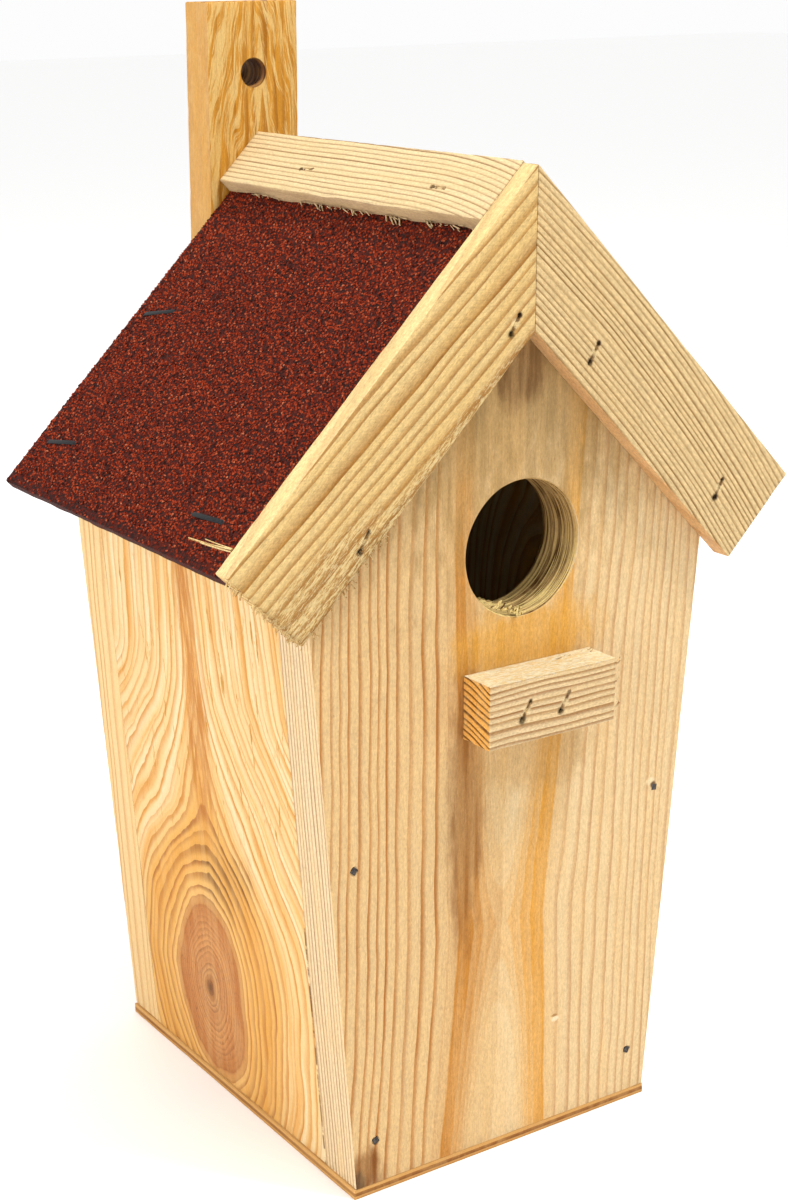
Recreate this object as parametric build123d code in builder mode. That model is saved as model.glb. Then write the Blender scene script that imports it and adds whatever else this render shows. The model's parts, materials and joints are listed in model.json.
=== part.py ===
from build123d import *
import os
from math import cos, radians, sin, tan

# Gabled nest box on a hanging batten, in millimetres.
# +X is to the right of the front, +Y points at the wall behind, +Z is up.
# The origin is the middle of the whole footprint, level with the floor's underside.

# Boxed body
board_thickness = 13.0
body_width_at_floor = 88.8
body_depth = 110.0
side_lean = 4.8  # degrees that each side leans outwards
plywood_thickness = 2.7  # floor plate and roof decks
floor_overhang = 0.5  # the floor plate shows past each side board

# Roof: lengths run down the slope from the ridge, depths run square to the slope,
# both from the line of the bargeboards' top edges
roof_pitch = 45.0
ridge_height = 240.0
bargeboard_length = 112.2
bargeboard_width = 25.7
bargeboard_thickness = 5.3
felt_length = 111.9
felt_depth = 4.1
felt_thickness = 3.2
deck_length = 106.0
cap_width = 16.4
cap_proud = 0.3  # the ridge caps stand this far above the bargeboards

# Entrance and perch
entrance_diameter = 32.0
entrance_x = 2.0
entrance_z = 153.1
perch_width = 36.9
perch_height = 15.4
perch_depth = 9.9
perch_x = 3.9
perch_z = 117.9

# Hanging batten
batten_width = 26.9
batten_thickness = 11.2
batten_length = 273.1
batten_x = -0.9
batten_hole_diameter = 7.0
batten_hole_from_top = 17.8

# Fasteners
brad_diameter = 1.2
brad_head_diameter = 1.8
brad_head_thickness = 0.5
panel_brad_length = 28.0
floor_brad_length = 16.0
batten_brad_length = 22.0
deck_brad_length = 16.0
wire_width = 1.2
wire_thickness = 0.6
narrow_crown = 5.6
wide_crown = 13.2
bargeboard_staple_leg = 14.0
perch_staple_leg = 16.0
felt_staple_leg = 5.4
cap_staple_leg = 6.4
felt_staple_proud = 0.3
narrow_staple_sink = 0.8  # how far the gun drove the narrow staples below the wood's face
front_staple_tilt = 60.0

# Worked out from the sizes above
overall_depth = perch_depth + body_depth + batten_thickness
front_y = perch_depth - overall_depth / 2
back_y = front_y + body_depth
batten_back_y = back_y + batten_thickness
floor_top = plywood_thickness
lean = tan(radians(side_lean))
pitch = radians(roof_pitch)
half_width = body_width_at_floor / 2
deck_depth = felt_depth + felt_thickness
gable_depth = deck_depth + plywood_thickness
gable_peak = ridge_height - gable_depth / cos(pitch)
sides = (("left", -1), ("right", 1))


def slope_point(side, along, depth):
    """X and Z of a point on one roof slope: down from the ridge, and in square to the slope."""
    x = along * cos(pitch) - depth * sin(pitch)
    z = ridge_height - along * sin(pitch) - depth * cos(pitch)
    return side * x, z


def slope_outline(side, top_depth, bottom_depth, length):
    """Section of a layer of one slope, mitred on the upright plane through the ridge."""
    return [
        (0, ridge_height - top_depth / cos(pitch)),
        slope_point(side, length, top_depth),
        slope_point(side, length, bottom_depth),
        (0, ridge_height - bottom_depth / cos(pitch)),
    ]


def wall_outline_point(offset):
    """Where a line that leans with the sides, offset out at the floor, meets the gable."""
    x = (offset + lean * (gable_peak - floor_top)) / (1 + lean * tan(pitch))
    return x, gable_peak - x * tan(pitch)


def slope_plane(side, along, y, depth, turn=0.0):
    """A plane lying on one slope, its x axis along the ridge or turned down the slope by turn."""
    x, z = slope_point(side, along, depth)
    down_slope = Vector(side * cos(pitch), 0, -sin(pitch))
    crown = Vector(0, 1, 0) * cos(radians(turn)) + down_slope * sin(radians(turn))
    return Plane(origin=(x, y, z), x_dir=crown, z_dir=(side * sin(pitch), 0, cos(pitch)))


def front_plane(x, y, z, turn=0.0):
    """A plane facing the front, its x axis to the right or turned upwards by turn."""
    crown = (cos(radians(turn)), 0, sin(radians(turn)))
    return Plane(origin=(x, y, z), x_dir=crown, z_dir=(0, -1, 0))


def back_plane(x, y, z):
    """A plane facing the wall."""
    return Plane(origin=(x, y, z), x_dir=(-1, 0, 0), z_dir=(0, 1, 0))


def brad(length):
    """A headed brad whose head's top is at the origin, driven towards -Z."""
    with BuildPart() as nail:
        Cylinder(brad_diameter / 2, length, align=(Align.CENTER, Align.CENTER, Align.MAX))
        Cylinder(brad_head_diameter / 2, brad_head_thickness, align=(Align.CENTER, Align.CENTER, Align.MAX))
        chamfer(nail.edges().filter_by(GeomType.CIRCLE).sort_by(Axis.Z)[0], brad_diameter / 4)
    return nail.part


def staple(crown, leg):
    """A staple of flat wire whose crown's top is at the origin along X, driven towards -Z."""
    with BuildPart() as wire:
        with BuildSketch(Plane.XZ):
            Rectangle(crown, leg, align=(Align.CENTER, Align.MAX))
            with Locations((0, -wire_thickness)):
                Rectangle(crown - 2 * wire_thickness, leg, align=(Align.CENTER, Align.MAX), mode=Mode.SUBTRACT)
        extrude(amount=wire_width / 2, both=True)
        shoulders = wire.edges().filter_by(Axis.Y).group_by(Axis.Z)[-1]
        fillet(shoulders, wire_thickness * 0.8)
    return wire.part


def sunk_slot():
    """The open slot that a sunk narrow staple leaves over its crown, whose top is at the origin."""
    with BuildPart() as slot:
        Box(narrow_crown, wire_width, narrow_staple_sink, align=(Align.CENTER, Align.CENTER, Align.MIN))
    return slot.part


def write(piece, name):
    """Label one finished piece and write its file."""
    piece.part.label = name
    export_step(piece.part, f"parts/{name}.step")


# Fasteners come first, because every board is drilled by the ones that pass through it.
side_board_middle = half_width - board_thickness / 2 / cos(radians(side_lean))
panel_brad_heights = (14.1, 84.8)

with BuildPart() as front_brads:
    for height in panel_brad_heights:
        reach = side_board_middle + lean * (height - floor_top)
        for x in (-reach, reach):
            with Locations(front_plane(x, front_y, height)):
                add(brad(panel_brad_length))
write(front_brads, "front_brads")

with BuildPart() as back_brads:
    for height in panel_brad_heights:
        reach = side_board_middle + lean * (height - floor_top)
        for x in (-reach, reach):
            with Locations(back_plane(x, back_y, height)):
                add(brad(panel_brad_length))
write(back_brads, "back_brads")

floor_brad_inset = 32.0
with BuildPart() as floor_brads:
    side_spots = [
        (side * side_board_middle, y)
        for _, side in sides
        for y in (front_y + floor_brad_inset, back_y - floor_brad_inset)
    ]
    end_spots = [(0, front_y + board_thickness / 2), (0, back_y - board_thickness / 2)]
    for x, y in side_spots + end_spots:
        with Locations(Plane(origin=(x, y, 0), z_dir=(0, 0, -1))):
            add(brad(floor_brad_length))
write(floor_brads, "floor_brads")

batten_brad_stagger = 5.0
batten_brad_heights = (28.0, 84.0, 140.0, 188.0)
with BuildPart() as batten_brads:
    for index, height in enumerate(batten_brad_heights):
        shift = batten_brad_stagger if index % 2 else -batten_brad_stagger
        with Locations(back_plane(batten_x + shift, batten_back_y, height)):
            add(brad(batten_brad_length))
write(batten_brads, "batten_brads")

deck_brad_distances = (35.0, 70.0)
deck_brads = {}
for side_name, side in sides:
    with BuildPart() as deck_nails:
        for along in deck_brad_distances:
            for y in (front_y + board_thickness / 2, back_y - board_thickness / 2):
                with Locations(slope_plane(side, along, y, deck_depth)):
                    add(brad(deck_brad_length))
    write(deck_nails, f"deck_brads_{side_name}")
    deck_brads[side_name] = deck_nails.part

bargeboard_staple_spots = {
    "left": ((-5.6, 205.9), (-45.4, 163.2)),
    "right": ((17.0, 197.3), (56.7, 160.3)),
}
bargeboard_staple_y = front_y - bargeboard_thickness + narrow_staple_sink
bargeboard_staples = {}
bargeboard_slots = {}
for side_name, side in sides:
    planes = [front_plane(x, bargeboard_staple_y, z, front_staple_tilt) for x, z in bargeboard_staple_spots[side_name]]
    with BuildPart() as board_staples:
        with Locations(*planes):
            add(staple(narrow_crown, bargeboard_staple_leg))
    write(board_staples, f"bargeboard_staples_{side_name}")
    bargeboard_staples[side_name] = board_staples.part
    with BuildPart() as board_slots:
        with Locations(*planes):
            add(sunk_slot())
    bargeboard_slots[side_name] = board_slots.part

perch_staple_offsets = (-8.0, 3.3)  # from the middle of the block
perch_staple_planes = [
    front_plane(perch_x + offset, front_y - perch_depth + narrow_staple_sink, perch_z, front_staple_tilt)
    for offset in perch_staple_offsets
]
with BuildPart() as perch_staples:
    with Locations(*perch_staple_planes):
        add(staple(narrow_crown, perch_staple_leg))
write(perch_staples, "perch_staples")
with BuildPart() as perch_slots:
    with Locations(*perch_staple_planes):
        add(sunk_slot())

# Distance down the slope, distance behind the front panel's face, and turn on the slope
felt_staple_spots = ((55.5, 99.2, 13.6), (97.0, 98.0, 10.6), (100.5, 21.8, 4.0))
cap_staple_spots = ((9.7, 21.3, 0.0), (9.4, 76.0, 6.0))
felt_staples = {}
cap_staples = {}
cap_slots = {}
for side_name, side in sides:
    with BuildPart() as roof_staples:
        for along, behind, turn in felt_staple_spots:
            plane = slope_plane(side, along, front_y + behind, felt_depth - felt_staple_proud, turn)
            with Locations(plane):
                add(staple(wide_crown, felt_staple_leg))
    write(roof_staples, f"felt_staples_{side_name}")
    felt_staples[side_name] = roof_staples.part
    planes = [
        slope_plane(side, along, front_y + behind, narrow_staple_sink - cap_proud, turn)
        for along, behind, turn in cap_staple_spots
    ]
    with BuildPart() as strip_staples:
        with Locations(*planes):
            add(staple(narrow_crown, cap_staple_leg))
    write(strip_staples, f"ridge_cap_staples_{side_name}")
    cap_staples[side_name] = strip_staples.part
    with BuildPart() as strip_slots:
        with Locations(*planes):
            add(sunk_slot())
    cap_slots[side_name] = strip_slots.part

# Front and back panels: tapered, gabled boards that cover the side boards' ends
shoulder_x, shoulder_z = wall_outline_point(half_width)
gable_outline = [
    (-half_width, floor_top),
    (half_width, floor_top),
    (shoulder_x, shoulder_z),
    (0, gable_peak),
    (-shoulder_x, shoulder_z),
]

with BuildPart() as front_panel:
    with BuildSketch(Plane.XZ.offset(-front_y)):
        with BuildLine():
            Polyline(*gable_outline, close=True)
        make_face()
        with Locations((entrance_x, entrance_z)):
            Circle(entrance_diameter / 2, mode=Mode.SUBTRACT)
    extrude(amount=-board_thickness)
    for nails in (front_brads.part, floor_brads.part, perch_staples.part):
        add(nails, mode=Mode.SUBTRACT)
    for side_name, side in sides:
        add(deck_brads[side_name], mode=Mode.SUBTRACT)
        add(bargeboard_staples[side_name], mode=Mode.SUBTRACT)
write(front_panel, "front_panel")

with BuildPart() as back_panel:
    with BuildSketch(Plane.XZ.offset(-back_y)):
        with BuildLine():
            Polyline(*gable_outline, close=True)
        make_face()
    extrude(amount=board_thickness)
    for nails in (back_brads.part, floor_brads.part, batten_brads.part):
        add(nails, mode=Mode.SUBTRACT)
    for side_name, side in sides:
        add(deck_brads[side_name], mode=Mode.SUBTRACT)
write(back_panel, "back_panel")

# Side boards: leaning boards between the panels, bevelled under the roof deck
inner_half_width = half_width - board_thickness / cos(radians(side_lean))
inner_top_x, inner_top_z = wall_outline_point(inner_half_width)
for side_name, side in sides:
    with BuildPart() as side_board:
        with BuildSketch(Plane.XZ.offset(-(front_y + board_thickness))):
            with BuildLine():
                Polyline(
                    (side * half_width, floor_top),
                    (side * shoulder_x, shoulder_z),
                    (side * inner_top_x, inner_top_z),
                    (side * inner_half_width, floor_top),
                    close=True,
                )
            make_face()
        extrude(amount=-(body_depth - 2 * board_thickness))
        for nails in (front_brads.part, back_brads.part, floor_brads.part):
            add(nails, mode=Mode.SUBTRACT)
    write(side_board, f"{side_name}_side")

# Floor plate under the four walls
with BuildPart() as floor_plate:
    with BuildSketch(Plane.XY):
        with Locations((0, (front_y + back_y) / 2)):
            Rectangle(body_width_at_floor + 2 * floor_overhang, body_depth)
    extrude(amount=plywood_thickness)
    add(floor_brads.part, mode=Mode.SUBTRACT)
write(floor_plate, "floor_plate")

# Roof layers, from the gables outwards: deck, felt, ridge cap
for side_name, side in sides:
    with BuildPart() as roof_deck:
        with BuildSketch(Plane.XZ.offset(-front_y)):
            with BuildLine():
                Polyline(*slope_outline(side, deck_depth, gable_depth, deck_length), close=True)
            make_face()
        extrude(amount=-body_depth)
        add(deck_brads[side_name], mode=Mode.SUBTRACT)
        add(felt_staples[side_name], mode=Mode.SUBTRACT)
    write(roof_deck, f"roof_deck_{side_name}")

    with BuildPart() as roof_felt:
        with BuildSketch(Plane.XZ.offset(-front_y)):
            with BuildLine():
                Polyline(*slope_outline(side, felt_depth, deck_depth, felt_length), close=True)
            make_face()
        extrude(amount=-body_depth)
        add(felt_staples[side_name], mode=Mode.SUBTRACT)
        add(cap_staples[side_name], mode=Mode.SUBTRACT)
    write(roof_felt, f"roof_felt_{side_name}")

    with BuildPart() as ridge_cap:
        with BuildSketch(Plane.XZ.offset(-front_y)):
            with BuildLine():
                Polyline(*slope_outline(side, -cap_proud, felt_depth, cap_width), close=True)
            make_face()
        extrude(amount=-body_depth)
        add(cap_staples[side_name], mode=Mode.SUBTRACT)
        add(cap_slots[side_name], mode=Mode.SUBTRACT)
    write(ridge_cap, f"ridge_cap_{side_name}")

# Bargeboards on the front panel's face, hiding the roof's layers
for side_name, side in sides:
    with BuildPart() as bargeboard:
        with BuildSketch(Plane.XZ.offset(-front_y)):
            with BuildLine():
                Polyline(*slope_outline(side, 0, bargeboard_width, bargeboard_length), close=True)
            make_face()
        extrude(amount=bargeboard_thickness)
        add(bargeboard_staples[side_name], mode=Mode.SUBTRACT)
        add(bargeboard_slots[side_name], mode=Mode.SUBTRACT)
    write(bargeboard, f"bargeboard_{side_name}")

# Perch block under the entrance
with BuildPart() as perch_block:
    with BuildSketch(Plane.XZ.offset(-front_y)):
        with Locations((perch_x, perch_z)):
            Rectangle(perch_width, perch_height)
    extrude(amount=perch_depth)
    add(perch_staples.part, mode=Mode.SUBTRACT)
    add(perch_slots.part, mode=Mode.SUBTRACT)
write(perch_block, "perch_block")

# Hanging batten up the middle of the back, with one screw hole above the ridge
with BuildPart() as mounting_batten:
    with BuildSketch(Plane.XZ.offset(-back_y)):
        with Locations((batten_x, batten_length / 2)):
            Rectangle(batten_width, batten_length)
        with Locations((batten_x, batten_length - batten_hole_from_top)):
            Circle(batten_hole_diameter / 2, mode=Mode.SUBTRACT)
    extrude(amount=-batten_thickness)
    add(batten_brads.part, mode=Mode.SUBTRACT)
write(mounting_batten, "mounting_batten")
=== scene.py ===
import json
import math
import random
import bmesh
import bpy
from mathutils import Matrix, Vector, noise


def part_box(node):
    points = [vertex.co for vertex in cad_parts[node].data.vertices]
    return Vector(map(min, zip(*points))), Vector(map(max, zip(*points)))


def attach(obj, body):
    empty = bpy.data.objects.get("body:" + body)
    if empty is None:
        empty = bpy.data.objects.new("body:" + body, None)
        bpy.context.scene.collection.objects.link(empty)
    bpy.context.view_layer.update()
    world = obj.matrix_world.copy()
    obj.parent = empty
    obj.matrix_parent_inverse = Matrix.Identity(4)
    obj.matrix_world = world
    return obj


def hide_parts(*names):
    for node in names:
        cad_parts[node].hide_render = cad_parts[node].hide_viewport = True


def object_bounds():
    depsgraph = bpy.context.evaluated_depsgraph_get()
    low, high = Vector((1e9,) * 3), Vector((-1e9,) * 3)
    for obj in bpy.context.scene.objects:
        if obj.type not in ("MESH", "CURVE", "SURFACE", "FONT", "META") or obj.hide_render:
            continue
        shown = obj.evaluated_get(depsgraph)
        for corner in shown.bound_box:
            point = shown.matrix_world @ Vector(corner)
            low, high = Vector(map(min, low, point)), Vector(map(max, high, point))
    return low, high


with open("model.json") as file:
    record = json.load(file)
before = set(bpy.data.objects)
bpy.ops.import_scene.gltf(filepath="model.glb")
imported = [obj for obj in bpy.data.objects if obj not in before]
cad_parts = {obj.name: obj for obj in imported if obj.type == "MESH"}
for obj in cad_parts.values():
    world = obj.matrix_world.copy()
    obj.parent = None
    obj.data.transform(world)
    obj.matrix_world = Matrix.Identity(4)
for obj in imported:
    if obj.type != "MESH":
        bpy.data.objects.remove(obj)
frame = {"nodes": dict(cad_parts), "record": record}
cadLow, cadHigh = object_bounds()
mm = 0.001
slope = math.sqrt(0.5)  # both roof slopes fall at 45 degrees
record = frame["record"]
openings = {o["name"]: [Vector(corner) for corner in o["box_m"]] for o in record["physics"]["openings"]}
mounts = {m["name"]: m for m in record["mounts"]}
panelLow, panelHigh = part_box("front_panel")
bargeLow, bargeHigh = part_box("bargeboard_left")
ridge = Vector((0, panelLow.y, bargeHigh.z))  # the bargeboards' meeting point, on the front panel's face
print("frame loaded,", len(frame["nodes"]), "nodes")


# ---- camera, floor and light

cameraSetup = {
    "place": Vector((-0.2832, -0.40935, 0.2809)),
    "azimuth": -31.564,
    "elevation": 15.896,
    "roll": -0.877,
    "lens": 61.65,
    "shift": (0.1039, -0.0382),
}

studio = {
    "floorTone": (0.97, 0.97, 0.965, 1),
    "worldTone": (1.0, 1.0, 1.0, 1),
    "worldStrength": 0.98,
    "keyBox": {"place": (0.22, -0.36, 1.08), "size": 0.24, "watts": 9.0, "tint": (1.0, 0.98, 0.95)},
    "fillBox": {"place": (-0.85, -0.15, 0.42), "size": 0.50, "watts": 4.2, "tint": (1.0, 0.985, 0.96)},
    "topBox": {"place": (-0.30, 0.10, 0.95), "size": 0.40, "watts": 1.0, "tint": (0.99, 0.99, 1.0)},
}


def addCamera(setup):
    azimuth = math.radians(setup["azimuth"])
    elevation = math.radians(setup["elevation"])
    roll = math.radians(setup["roll"])
    flat = math.cos(elevation)
    look = Vector((-math.sin(azimuth) * flat, math.cos(azimuth) * flat, -math.sin(elevation)))
    level = look.cross(Vector((0, 0, 1))).normalized()
    upright = level.cross(look)
    right = level * math.cos(roll) + upright * math.sin(roll)
    up = upright * math.cos(roll) - level * math.sin(roll)
    camera = bpy.data.objects.new("camera", bpy.data.cameras.new("camera"))
    bpy.context.scene.collection.objects.link(camera)
    turn = Matrix((right, up, -look)).transposed().to_4x4()
    camera.matrix_world = Matrix.Translation(setup["place"]) @ turn
    camera.data.lens = setup["lens"]
    camera.data.shift_x, camera.data.shift_y = setup["shift"]
    camera.data.clip_start = 0.01
    bpy.context.scene.camera = camera


def addSoftbox(name, box, aim):
    light = bpy.data.objects.new(name, bpy.data.lights.new(name, "AREA"))
    light.data.shape = "DISK"
    light.data.size = box["size"]
    light.data.energy = box["watts"]
    light.data.color = box["tint"]
    bpy.context.scene.collection.objects.link(light)
    place = Vector(box["place"])
    turn = (aim - place).to_track_quat("-Z", "Y").to_matrix().to_4x4()
    light.matrix_world = Matrix.Translation(place) @ turn


def addStudio(setup):
    world = bpy.data.worlds.new("paleRoom")
    bpy.context.scene.world = world
    world.use_nodes = True
    world.node_tree.nodes["Background"].inputs["Color"].default_value = setup["worldTone"]
    world.node_tree.nodes["Background"].inputs["Strength"].default_value = setup["worldStrength"]
    aim = (cadLow + cadHigh) / 2
    for name in ("keyBox", "fillBox", "topBox"):
        addSoftbox(name, setup[name], aim)
    bm = bmesh.new()
    bmesh.ops.create_grid(bm, x_segments=1, y_segments=1, size=6)
    floor = addObject("paleFloor", bm)
    material = bpy.data.materials.new("paleFloor")
    material.use_nodes = True
    shader = material.node_tree.nodes["Principled BSDF"]
    shader.inputs["Base Color"].default_value = setup["floorTone"]
    shader.inputs["Roughness"].default_value = 0.9
    floor.data.materials.append(material)
    bpy.context.scene.view_settings.view_transform = "Standard"


def addObject(name, bm):
    mesh = bpy.data.meshes.new(name)
    bm.to_mesh(mesh)
    bm.free()
    piece = bpy.data.objects.new(name, mesh)
    bpy.context.scene.collection.objects.link(piece)
    return piece


addCamera(cameraSetup)
addStudio(studio)
print("camera and studio ready")


# ---- shader values that read like sums

class Signal:
    def __init__(self, tree, socket):
        self.tree = tree
        self.socket = socket

    def math(self, operation, *others, clamp=False):
        node = self.tree.nodes.new("ShaderNodeMath")
        node.operation = operation
        node.use_clamp = clamp
        for socket, value in zip(node.inputs, (self,) + others):
            plug(self.tree, socket, value)
        return Signal(self.tree, node.outputs[0])

    def __add__(self, other):
        return self.math("ADD", other)

    def __sub__(self, other):
        return self.math("SUBTRACT", other)

    def __mul__(self, other):
        return self.math("MULTIPLY", other)

    def __truediv__(self, other):
        return self.math("DIVIDE", other)

    def inverse(self):
        return self.math("MULTIPLY_ADD", -1.0, 1.0)

    def rise(self, low, high):
        node = self.tree.nodes.new("ShaderNodeMapRange")
        node.interpolation_type = "SMOOTHSTEP"
        plug(self.tree, node.inputs["Value"], self)
        node.inputs["From Min"].default_value = low
        node.inputs["From Max"].default_value = high
        return Signal(self.tree, node.outputs["Result"])

    def scaled(self, low, high, low2=0.0, high2=1.0):
        slopeOf = (high2 - low2) / (high - low)
        return self.math("MULTIPLY_ADD", slopeOf, low2 - low * slopeOf, clamp=(low2, high2) == (0.0, 1.0))


def plug(tree, socket, value):
    if isinstance(value, Signal):
        tree.links.new(value.socket, socket)
    else:
        socket.default_value = value


def length(first, second):
    return (first * first + second * second).math("SQRT")


bareWood = 0.70  # share of a tone that is the surface itself, the rest being the studio's light
dullSheen = 0.12  # how little the bare wood and the felt's sheet shine


def paint(red, green, blue):
    tones = []
    for value in (red, green, blue):
        part = value / 255
        tones.append(bareWood * (part / 12.92 if part <= 0.04045 else ((part + 0.055) / 1.055) ** 2.4))
    return (*tones, 1.0)


def projected(tree, socket, direction):
    dot = tree.nodes.new("ShaderNodeVectorMath")
    dot.operation = "DOT_PRODUCT"
    tree.links.new(socket, dot.inputs[0])
    dot.inputs[1].default_value = direction
    return Signal(tree, dot.outputs["Value"])


def measure(tree, origin, direction):
    # millimetres from the origin along a direction
    place = tree.nodes.new("ShaderNodeTexCoord")
    shifted = tree.nodes.new("ShaderNodeVectorMath")
    shifted.operation = "SUBTRACT"
    tree.links.new(place.outputs["Object"], shifted.inputs[0])
    shifted.inputs[1].default_value = origin
    return projected(tree, shifted.outputs[0], Vector(direction) / mm)


def measureAll(tree):
    return [measure(tree, (0, 0, 0), axis) for axis in ((1, 0, 0), (0, 1, 0), (0, 0, 1))]


def cloud(tree, values, sizes, detail=2.0, roughness=0.5, shift=0.0):
    combined = tree.nodes.new("ShaderNodeCombineXYZ")
    for socket, value, size in zip(combined.inputs, values, sizes):
        plug(tree, socket, value.math("MULTIPLY_ADD", 1.0 / size, shift))
    node = tree.nodes.new("ShaderNodeTexNoise")
    node.inputs["Scale"].default_value = 1.0
    node.inputs["Detail"].default_value = detail
    node.inputs["Roughness"].default_value = roughness
    tree.links.new(combined.outputs[0], node.inputs["Vector"])
    return Signal(tree, node.outputs["Fac"])


def chance(tree, value):
    node = tree.nodes.new("ShaderNodeTexWhiteNoise")
    node.noise_dimensions = "1D"
    plug(tree, node.inputs["W"], value)
    return Signal(tree, node.outputs["Value"])


def ramp(tree, value, stops):
    node = tree.nodes.new("ShaderNodeValToRGB")
    low = stops[0][0]
    span = stops[-1][0] - low
    elements = node.color_ramp.elements
    while len(elements) < len(stops):
        elements.new(0.5)
    for element, (place, tone) in zip(elements, stops):
        element.position = (place - low) / span
    for element, (place, tone) in zip(elements, stops):
        element.color = tone if isinstance(tone, tuple) else (tone, tone, tone, 1)
    plug(tree, node.inputs["Fac"], value.scaled(low, low + span))
    return Signal(tree, node.outputs["Color"])


def mixed(tree, amount, first, second):
    # sockets 6 and 7 are the node's two colours, and output 2 is their mix
    node = tree.nodes.new("ShaderNodeMix")
    node.data_type = "RGBA"
    plug(tree, node.inputs["Factor"], amount)
    plug(tree, node.inputs[6], first)
    plug(tree, node.inputs[7], second)
    return Signal(tree, node.outputs[2])


def shaded(tree, tone, light):
    node = tree.nodes.new("ShaderNodeVectorMath")
    node.operation = "SCALE"
    tree.links.new(tone.socket, node.inputs[0])
    plug(tree, node.inputs["Scale"], light)
    return Signal(tree, node.outputs[0])


def facing(tree, direction):
    return projected(tree, tree.nodes.new("ShaderNodeNewGeometry").outputs["Normal"], direction)


def faceTurn(tree, direction):
    return facing(tree, direction).math("ABSOLUTE")


def newMaterial(name):
    material = bpy.data.materials.new(name)
    material.use_nodes = True
    return material, material.node_tree, material.node_tree.nodes["Principled BSDF"]


def bumped(tree, shader, height, strength, distance):
    node = tree.nodes.new("ShaderNodeBump")
    node.inputs["Strength"].default_value = strength
    node.inputs["Distance"].default_value = distance
    plug(tree, node.inputs["Height"], height)
    tree.links.new(node.outputs["Normal"], shader.inputs["Normal"])


# ---- where the fasteners are

topLayer = 0.3 * mm  # thinner than any crown or head


def fastenersOf(node, outward):
    # where each fastener's top is, and which way its crown runs
    bm = bmesh.new()
    bm.from_mesh(frame["nodes"][node].data)
    bmesh.ops.remove_doubles(bm, verts=bm.verts[:], dist=1e-6)
    outward = Vector(outward).normalized()
    left = dict.fromkeys(bm.verts)  # in order, so that every run finds the same
    found = []
    while left:
        group = [next(iter(left))]
        del left[group[0]]
        edge = list(group)
        while edge:
            vert = edge.pop()
            for link in vert.link_edges:
                other = link.other_vert(vert)
                if other in left:
                    del left[other]
                    group.append(other)
                    edge.append(other)
        reach = max(vert.co.dot(outward) for vert in group)
        top = [vert.co.copy() for vert in group if reach - vert.co.dot(outward) < topLayer]
        centre = sum(top, Vector()) / len(top)
        centre += outward * (reach - centre.dot(outward))
        farthest = max(top, key=lambda spot: (spot - centre).length) - centre
        half = [spot - centre for spot in top if (spot - centre).dot(farthest) > 0]
        crown = sum(half, Vector()) / len(half)
        crown -= outward * crown.dot(outward)
        found.append((centre, crown.normalized(), outward))
    bm.free()
    return sorted(found, key=lambda item: (round(item[0].z, 4), round(item[0].x, 4), round(item[0].y, 4)))


sides = {"left": -1, "right": 1}
fasteners = {
    "frontBrads": {"node": "front_brads", "outward": (0, -1, 0), "kind": "brad", "length": 28.0},
    "backBrads": {"node": "back_brads", "outward": (0, 1, 0), "kind": "brad", "length": 28.0},
    "floorBrads": {"node": "floor_brads", "outward": (0, 0, -1), "kind": "brad", "length": 16.0},
    "battenBrads": {"node": "batten_brads", "outward": (0, 1, 0), "kind": "brad", "length": 22.0},
    "perchStaples": {"node": "perch_staples", "outward": (0, -1, 0), "kind": "staple", "crown": 5.6,
                     "length": 16.0},
}
for sideName, side in sides.items():
    roofward = (side * slope, 0, slope)
    fasteners[sideName + "DeckBrads"] = {"node": "deck_brads_" + sideName, "outward": roofward,
                                         "kind": "brad", "length": 16.0}
    fasteners[sideName + "BargeStaples"] = {"node": "bargeboard_staples_" + sideName, "outward": (0, -1, 0),
                                            "kind": "staple", "crown": 5.6, "length": 14.0}
    fasteners[sideName + "FeltStaples"] = {"node": "felt_staples_" + sideName, "outward": roofward,
                                           "kind": "staple", "crown": 13.2, "length": 5.4, "finish": "dark"}
    fasteners[sideName + "CapStaples"] = {"node": "ridge_cap_staples_" + sideName, "outward": roofward,
                                          "kind": "staple", "crown": 5.6, "length": 6.4}
for item in fasteners.values():
    item["spots"] = fastenersOf(item["node"], item["outward"])


# ---- growth rings

def ringProfile(phase, tree, keep=0.35, width=0.55):
    # each ring darkens slowly and ends in a sharp edge; keep is the faintest ring's share
    ringNumber = phase.math("FLOOR")
    inside = phase.math("FRACT")
    strength = chance(tree, ringNumber).scaled(0, 1, keep, 1.0)
    return inside.rise(1 - width, 0.90) * inside.rise(0.93, 1.0).inverse() * strength


def evenRings(tree, look, along, across, deep):
    rings = look["rings"]
    wander = cloud(tree, (along, across, deep), (38, 16, 16), detail=1.5) - 0.5
    lifted = across + along * rings.get("lean", 0.0) + wander * rings.get("wander", 1.6)
    if "bow" in rings:
        fromMiddle = along - rings["bowAt"]
        lifted = lifted + fromMiddle * fromMiddle * rings["bow"]
    if "hook" in rings:
        past = (along * -1.0 + rings["hookAt"]).math("MAXIMUM", 0.0)
        lifted = lifted - past * past * rings["hook"]
    below = deep - rings["pithDeep"] - along * rings.get("taper", 0.0)
    radius = length(lifted - rings["pithAcross"], below)
    uneven = cloud(tree, (radius, radius, radius), (7.0, 9.0, 11.0), detail=0) * rings.get("uneven", 1.2)
    return ringProfile(radius / rings["spacing"] + uneven, tree, rings.get("keep", 0.35),
                       rings.get("width", 0.55))


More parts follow.
